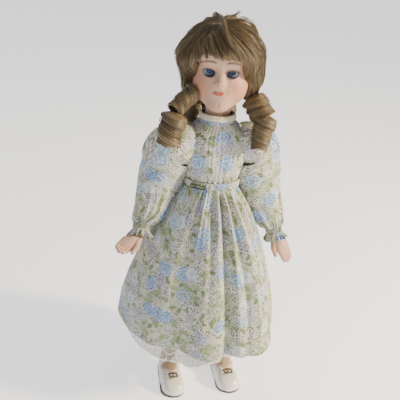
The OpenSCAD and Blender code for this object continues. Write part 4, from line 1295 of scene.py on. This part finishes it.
def build_stocking(name, paint):
    """Knitted stocking, wrinkled a little at the ankle."""
    side = SIDES[name]
    foot = MX + side * FOOT
    knee = np.array([MX + side * 28, 0, 120.0])
    ankle = np.array([MX + side * 37, 8, 34.0])

    def leg_field(p):
        d = pill(p, knee, mix(knee, ankle, 0.35), 12.0, 13.2)
        d = soft_min(d, pill(p, mix(knee, ankle, 0.35), ankle, 13.2, 9.2), 6)
        d = soft_min(d, pill(p, ankle, (foot, 13, 14), 9.2, 10.0), 4)
        d = soft_min(d, pill(p, (foot, 8, 18), (foot, -8, 15.5), 9.8, 10.4), 6)
        return soft_min(d, pill(p, (foot, -8, 15), (foot + side * 0.5, -33, 11), 9.6, 6.4), 6)

    line = [mix(knee, ankle, 0.26), mix(knee, ankle, 0.6), ankle + [0, -1, 6],
            (foot, -2, 19), (foot, -22, 12), (foot, -36, 10.5)]
    obj = wrapped(name + "_nylon_stocking", leg_field, line, 90, 120, 26, paint,
                  give=lambda tt, s: 0.25 * ripple(tt + 3 * s, 3, 8, 5, 83) * smooth(s, 0.3, 0.5))
    cloth(obj, name + "_lower_leg", name + "_stocking")


def shoe_outline(foot, turn):
    """Distance from the shoe's middle to its edge at floor level, by direction; 0 is towards the toe."""
    way = np.stack([np.sin(turn), -np.cos(turn), np.zeros_like(turn)], -1)
    reach = np.full(turn.shape, 60.0)
    for _ in range(60):
        p = np.array([0, -12, 0]) + reach[..., None] * way
        reach = reach - 0.8 * soft_min(pill(p, (0, 12.8, 0), (0, -20, 0), 11.9, 14.2),
                                       pill(p, (0, -20, 0), (0.6, -36.4, 0), 14.2, 15.6), 3)
    return np.array([foot, -12, 0]) + reach[..., None] * way


def build_shoe(name, paint):
    """One-bar shoe: a soft upper drawn over the toe, with a bound edge round the opening, and its bar."""
    foot = MX + SIDES[name] * FOOT
    cols = 260
    turn = turns(cols)
    edge = shoe_outline(foot, turn)
    toe = smooth(np.cos(turn), -0.1, 0.95)
    heel = smooth(-np.cos(turn), 0.2, 1.0)
    opening = np.stack([foot + 10.2 * np.sin(turn), -0.5 - 21.5 * np.cos(turn),
                        17.2 + 2.6 * toe + 6.0 * heel], -1)
    rise = np.stack([edge[:, 0], edge[:, 1], 15.5 + 3.5 * toe + 1.0 * heel], -1)
    low = edge + np.array([0, 0, 3.1])
    s = np.linspace(0, 1, 46)[:, None, None]
    upper = (1 - s) ** 2 * low + 2 * s * (1 - s) * rise + s ** 2 * opening
    outward = unit(edge - np.array([foot, -12, 0]))
    ss = s[..., 0]
    crease = 0.35 * np.sin(34 * ss + 2 * np.sin(3 * turn)) * np.exp(-((ss - 0.82) / 0.10) ** 2) * toe
    crease = crease + 0.35 * ripple(turn, 3, 9, 5, 84) * smooth(ss, 0.15, 0.5)
    upper = upper + (crease + 0.5 * np.exp(-(ss / 0.05) ** 2))[..., None] * outward
    binding = [opening + outward * (0.15 + 0.75 * math.cos(a)) + np.array([0, 0, 0.55 + 0.75 * math.sin(a)])
               for a in np.linspace(-0.4 * np.pi, 1.35 * np.pi, 12)]
    lining = [opening - outward * 1.0 + np.array([0, 0, z]) for z in (-0.8, -4.0)]
    at = np.concatenate([upper, np.array(binding), np.array(lining)])
    obj = grid(name + "_shoe_upper", at, paint, cloth_uv(turns(cols, 1) * 25, np.linspace(0, 40, len(at))))
    fitted(obj, name + "_lower_leg", name + "_shoe")
    # the bar over the instep
    a = np.radians(np.linspace(-93, 93, 70))
    across = np.stack([np.sin(a), 0 * a, np.cos(a)], -1)
    ring = np.linspace(0, 2 * np.pi, 21)
    half, thick = 2.7, 0.65
    y = half * squared(np.cos(ring), 0.4)
    r = 14.6 + thick * squared(np.sin(ring), 0.5)
    points = np.array([foot, middle(name + "_strap")[1], 12.5]) + r[:, None, None] * across * [0.985, 1, 1]
    points = points + y[:, None, None] * np.array([0, 1, 0])
    bar = grid(name + "_shoe_bar", points, paint, cloth_uv(a * 15, ring * 2), closed=False, flip=True)
    fitted(bar, name + "_lower_leg", name + "_strap")


def build_buckle(name, paint):
    """Square frame with softened corners and a raised rope edge."""
    t = turns(240)
    line = np.stack([5.1 * squared(np.sin(t), 0.32), -4.9 * squared(np.cos(t), 0.32), 0 * t], -1)
    away = unit(line)
    ring = np.linspace(0, 2 * np.pi, 17)
    rope = 1.1 + 0.10 * np.abs(np.sin(28 * t))
    points = (line[None] + (np.cos(ring)[:, None] * rope)[..., None] * away[None]
              + (np.sin(ring)[:, None] * rope * 0.8)[..., None] * np.array([0, 0, 1.0]))
    tilt = np.array(Matrix.Rotation(math.radians(-8), 3, "X"))
    points = points @ tilt.T + middle(name + "_buckle") + [0, 0, 0.2]
    obj = grid(name + "_buckle_frame", points, paint, cloth_uv(turns(240, 1) * 5, ring * 1.1))
    fitted(obj, name + "_lower_leg", name + "_buckle")


bisque_skin = bisque_paint("bisque_hands")
nylon = plain_cloth("nylon_knit", (0.46, 0.31, 0.21), weave=5200, rough=0.55)
leatherette = Paint("white_leatherette", roughness=0.34, coat_weight=0.25, coat_roughness=0.25)
grain = leatherette.noise(leatherette.coords("UV"), 1500, 3, seed=21)
leatherette.set("Base Color", leatherette.blend(leatherette.step(grain, 0.3, 0.6), (0.70, 0.69, 0.65),
                                                (0.76, 0.75, 0.71)))
leatherette.bump(grain, 0.0001, 0.35)
bronze = solid_paint("dark_bronze", (0.22, 0.155, 0.07), 0.42, tone=0.35, scale=900, metallic=0.85)
for side_name in SIDES:
    build_hand(side_name, bisque_skin)
    build_stocking(side_name, nylon)
    build_shoe(side_name, leatherette.material)
    build_buckle(side_name, bronze)


# ---------- finishes of the pieces shown as modelled ----------

def both(*parts):
    """Names of these nodes on the right and on the left."""
    return [f"{s}_{part}" for s in SIDES for part in parts]


# slot: nodes, colour, roughness and what else the finish needs
FINISHES = {
    "composition": (["torso"] + both("upper_arm", "forearm", "thigh", "lower_leg"),
                    (0.60, 0.42, 0.31), 0.55, {}),
    "elastic": (["body_elastic", "arm_elastic"] + both("arm_cord", "leg_cord"),
                (0.72, 0.70, 0.64), 0.8, {"scale": 900}),
    "steel_wire": (["neck_hook"] + both("wrist_hook"), (0.55, 0.55, 0.56), 0.35, {"metallic": 1.0}),
    "turned_wood": (["neck_button"], (0.50, 0.33, 0.18), 0.6, {"tone": 0.6, "scale": 300}),
    "plaster": (["eye_plaster"], (0.75, 0.73, 0.68), 0.9, {}),
    "cork": (["pate"], (0.45, 0.30, 0.17), 0.9, {"tone": 0.55, "scale": 500}),
    "snap_metal": (["back_snaps"], (0.60, 0.60, 0.60), 0.3, {"metallic": 1.0}),
    "sole_board": (both("sole"), (0.075, 0.055, 0.045), 0.6, {"tone": 0.6, "scale": 400}),
    "dark_cord": (["waist_loop"], (0.035, 0.03, 0.032), 0.5, {"scale": 1500}),
    "cap_net": (["wig_cap"], (0.30, 0.22, 0.13), 0.9, {"tone": 0.5, "scale": 1200}),
}
for slot_name, (nodes, colour, rough, more) in FINISHES.items():
    finish = solid_paint("elastic_cord" if slot_name == "elastic" else slot_name, colour, rough, **more)
    for node in nodes:
        shown = frame["nodes"][node]
        shown.data.materials.clear()
        shown.data.materials.append(finish)




# ---------- floor, light and camera ----------

floor_paint = solid_paint("floor_paint", (0.93, 0.93, 0.93), 0.7, tone=0.985, scale=3,
                          emission_color=(1.0, 1.0, 1.0), emission_strength=1.0)
bpy.ops.mesh.primitive_plane_add(size=12)
floor = bpy.context.object
floor.name = "floor"
floor.data.materials.append(floor_paint)

world = bpy.data.worlds.new("studio")
world.use_nodes = True
sky = world.node_tree.nodes["Background"]
sky.inputs["Color"].default_value = (0.93, 0.95, 1.0, 1)
sky.inputs["Strength"].default_value = 0.42
bpy.context.scene.world = world


def lamp(name, place, aim, size, watts, colour):
    """A round area light at place, turned towards aim; metres and watts."""
    data = bpy.data.lights.new(name, "AREA")
    data.shape, data.size, data.energy, data.color = "DISK", size, watts, colour
    obj = bpy.data.objects.new(name, data)
    bpy.context.scene.collection.objects.link(obj)
    obj.location = place
    obj.rotation_euler = (Vector(aim) - Vector(place)).to_track_quat("-Z", "Y").to_euler()


lamp("warm_key", (1.35, -0.62, 0.85), (0, 0, 0.26), 0.22, 66, (1.0, 0.82, 0.56))
lamp("soft_fill", (-1.2, -1.3, 1.1), (0, 0, 0.25), 1.4, 5, (0.82, 0.90, 1.0))
lamp("top", (0.1, 0.2, 1.9), (0, 0, 0.3), 1.2, 9, (1.0, 0.98, 0.95))

TARGET = np.array([-0.0083, 0, 0.2646])
DISTANCE, TURNED, RAISED, ROLLED = 0.900, math.radians(-14.4), math.radians(24), math.radians(4.8)
back = np.array([math.sin(TURNED) * math.cos(RAISED), -math.cos(TURNED) * math.cos(RAISED), math.sin(RAISED)])
right = np.array([math.cos(TURNED), math.sin(TURNED), 0])
up = np.cross(back, right)
camera_right = math.cos(ROLLED) * right + math.sin(ROLLED) * up
camera_up = math.cos(ROLLED) * up - math.sin(ROLLED) * right
camera_data = bpy.data.cameras.new("camera")
camera_data.lens, camera_data.sensor_width = 64.67, 36
camera = bpy.data.objects.new("camera", camera_data)
bpy.context.scene.collection.objects.link(camera)
stand = np.eye(4)
stand[:3, :] = np.stack([camera_right, camera_up, back, TARGET + DISTANCE * back], 1)
camera.matrix_world = Matrix(stand.tolist())
bpy.context.scene.camera = camera
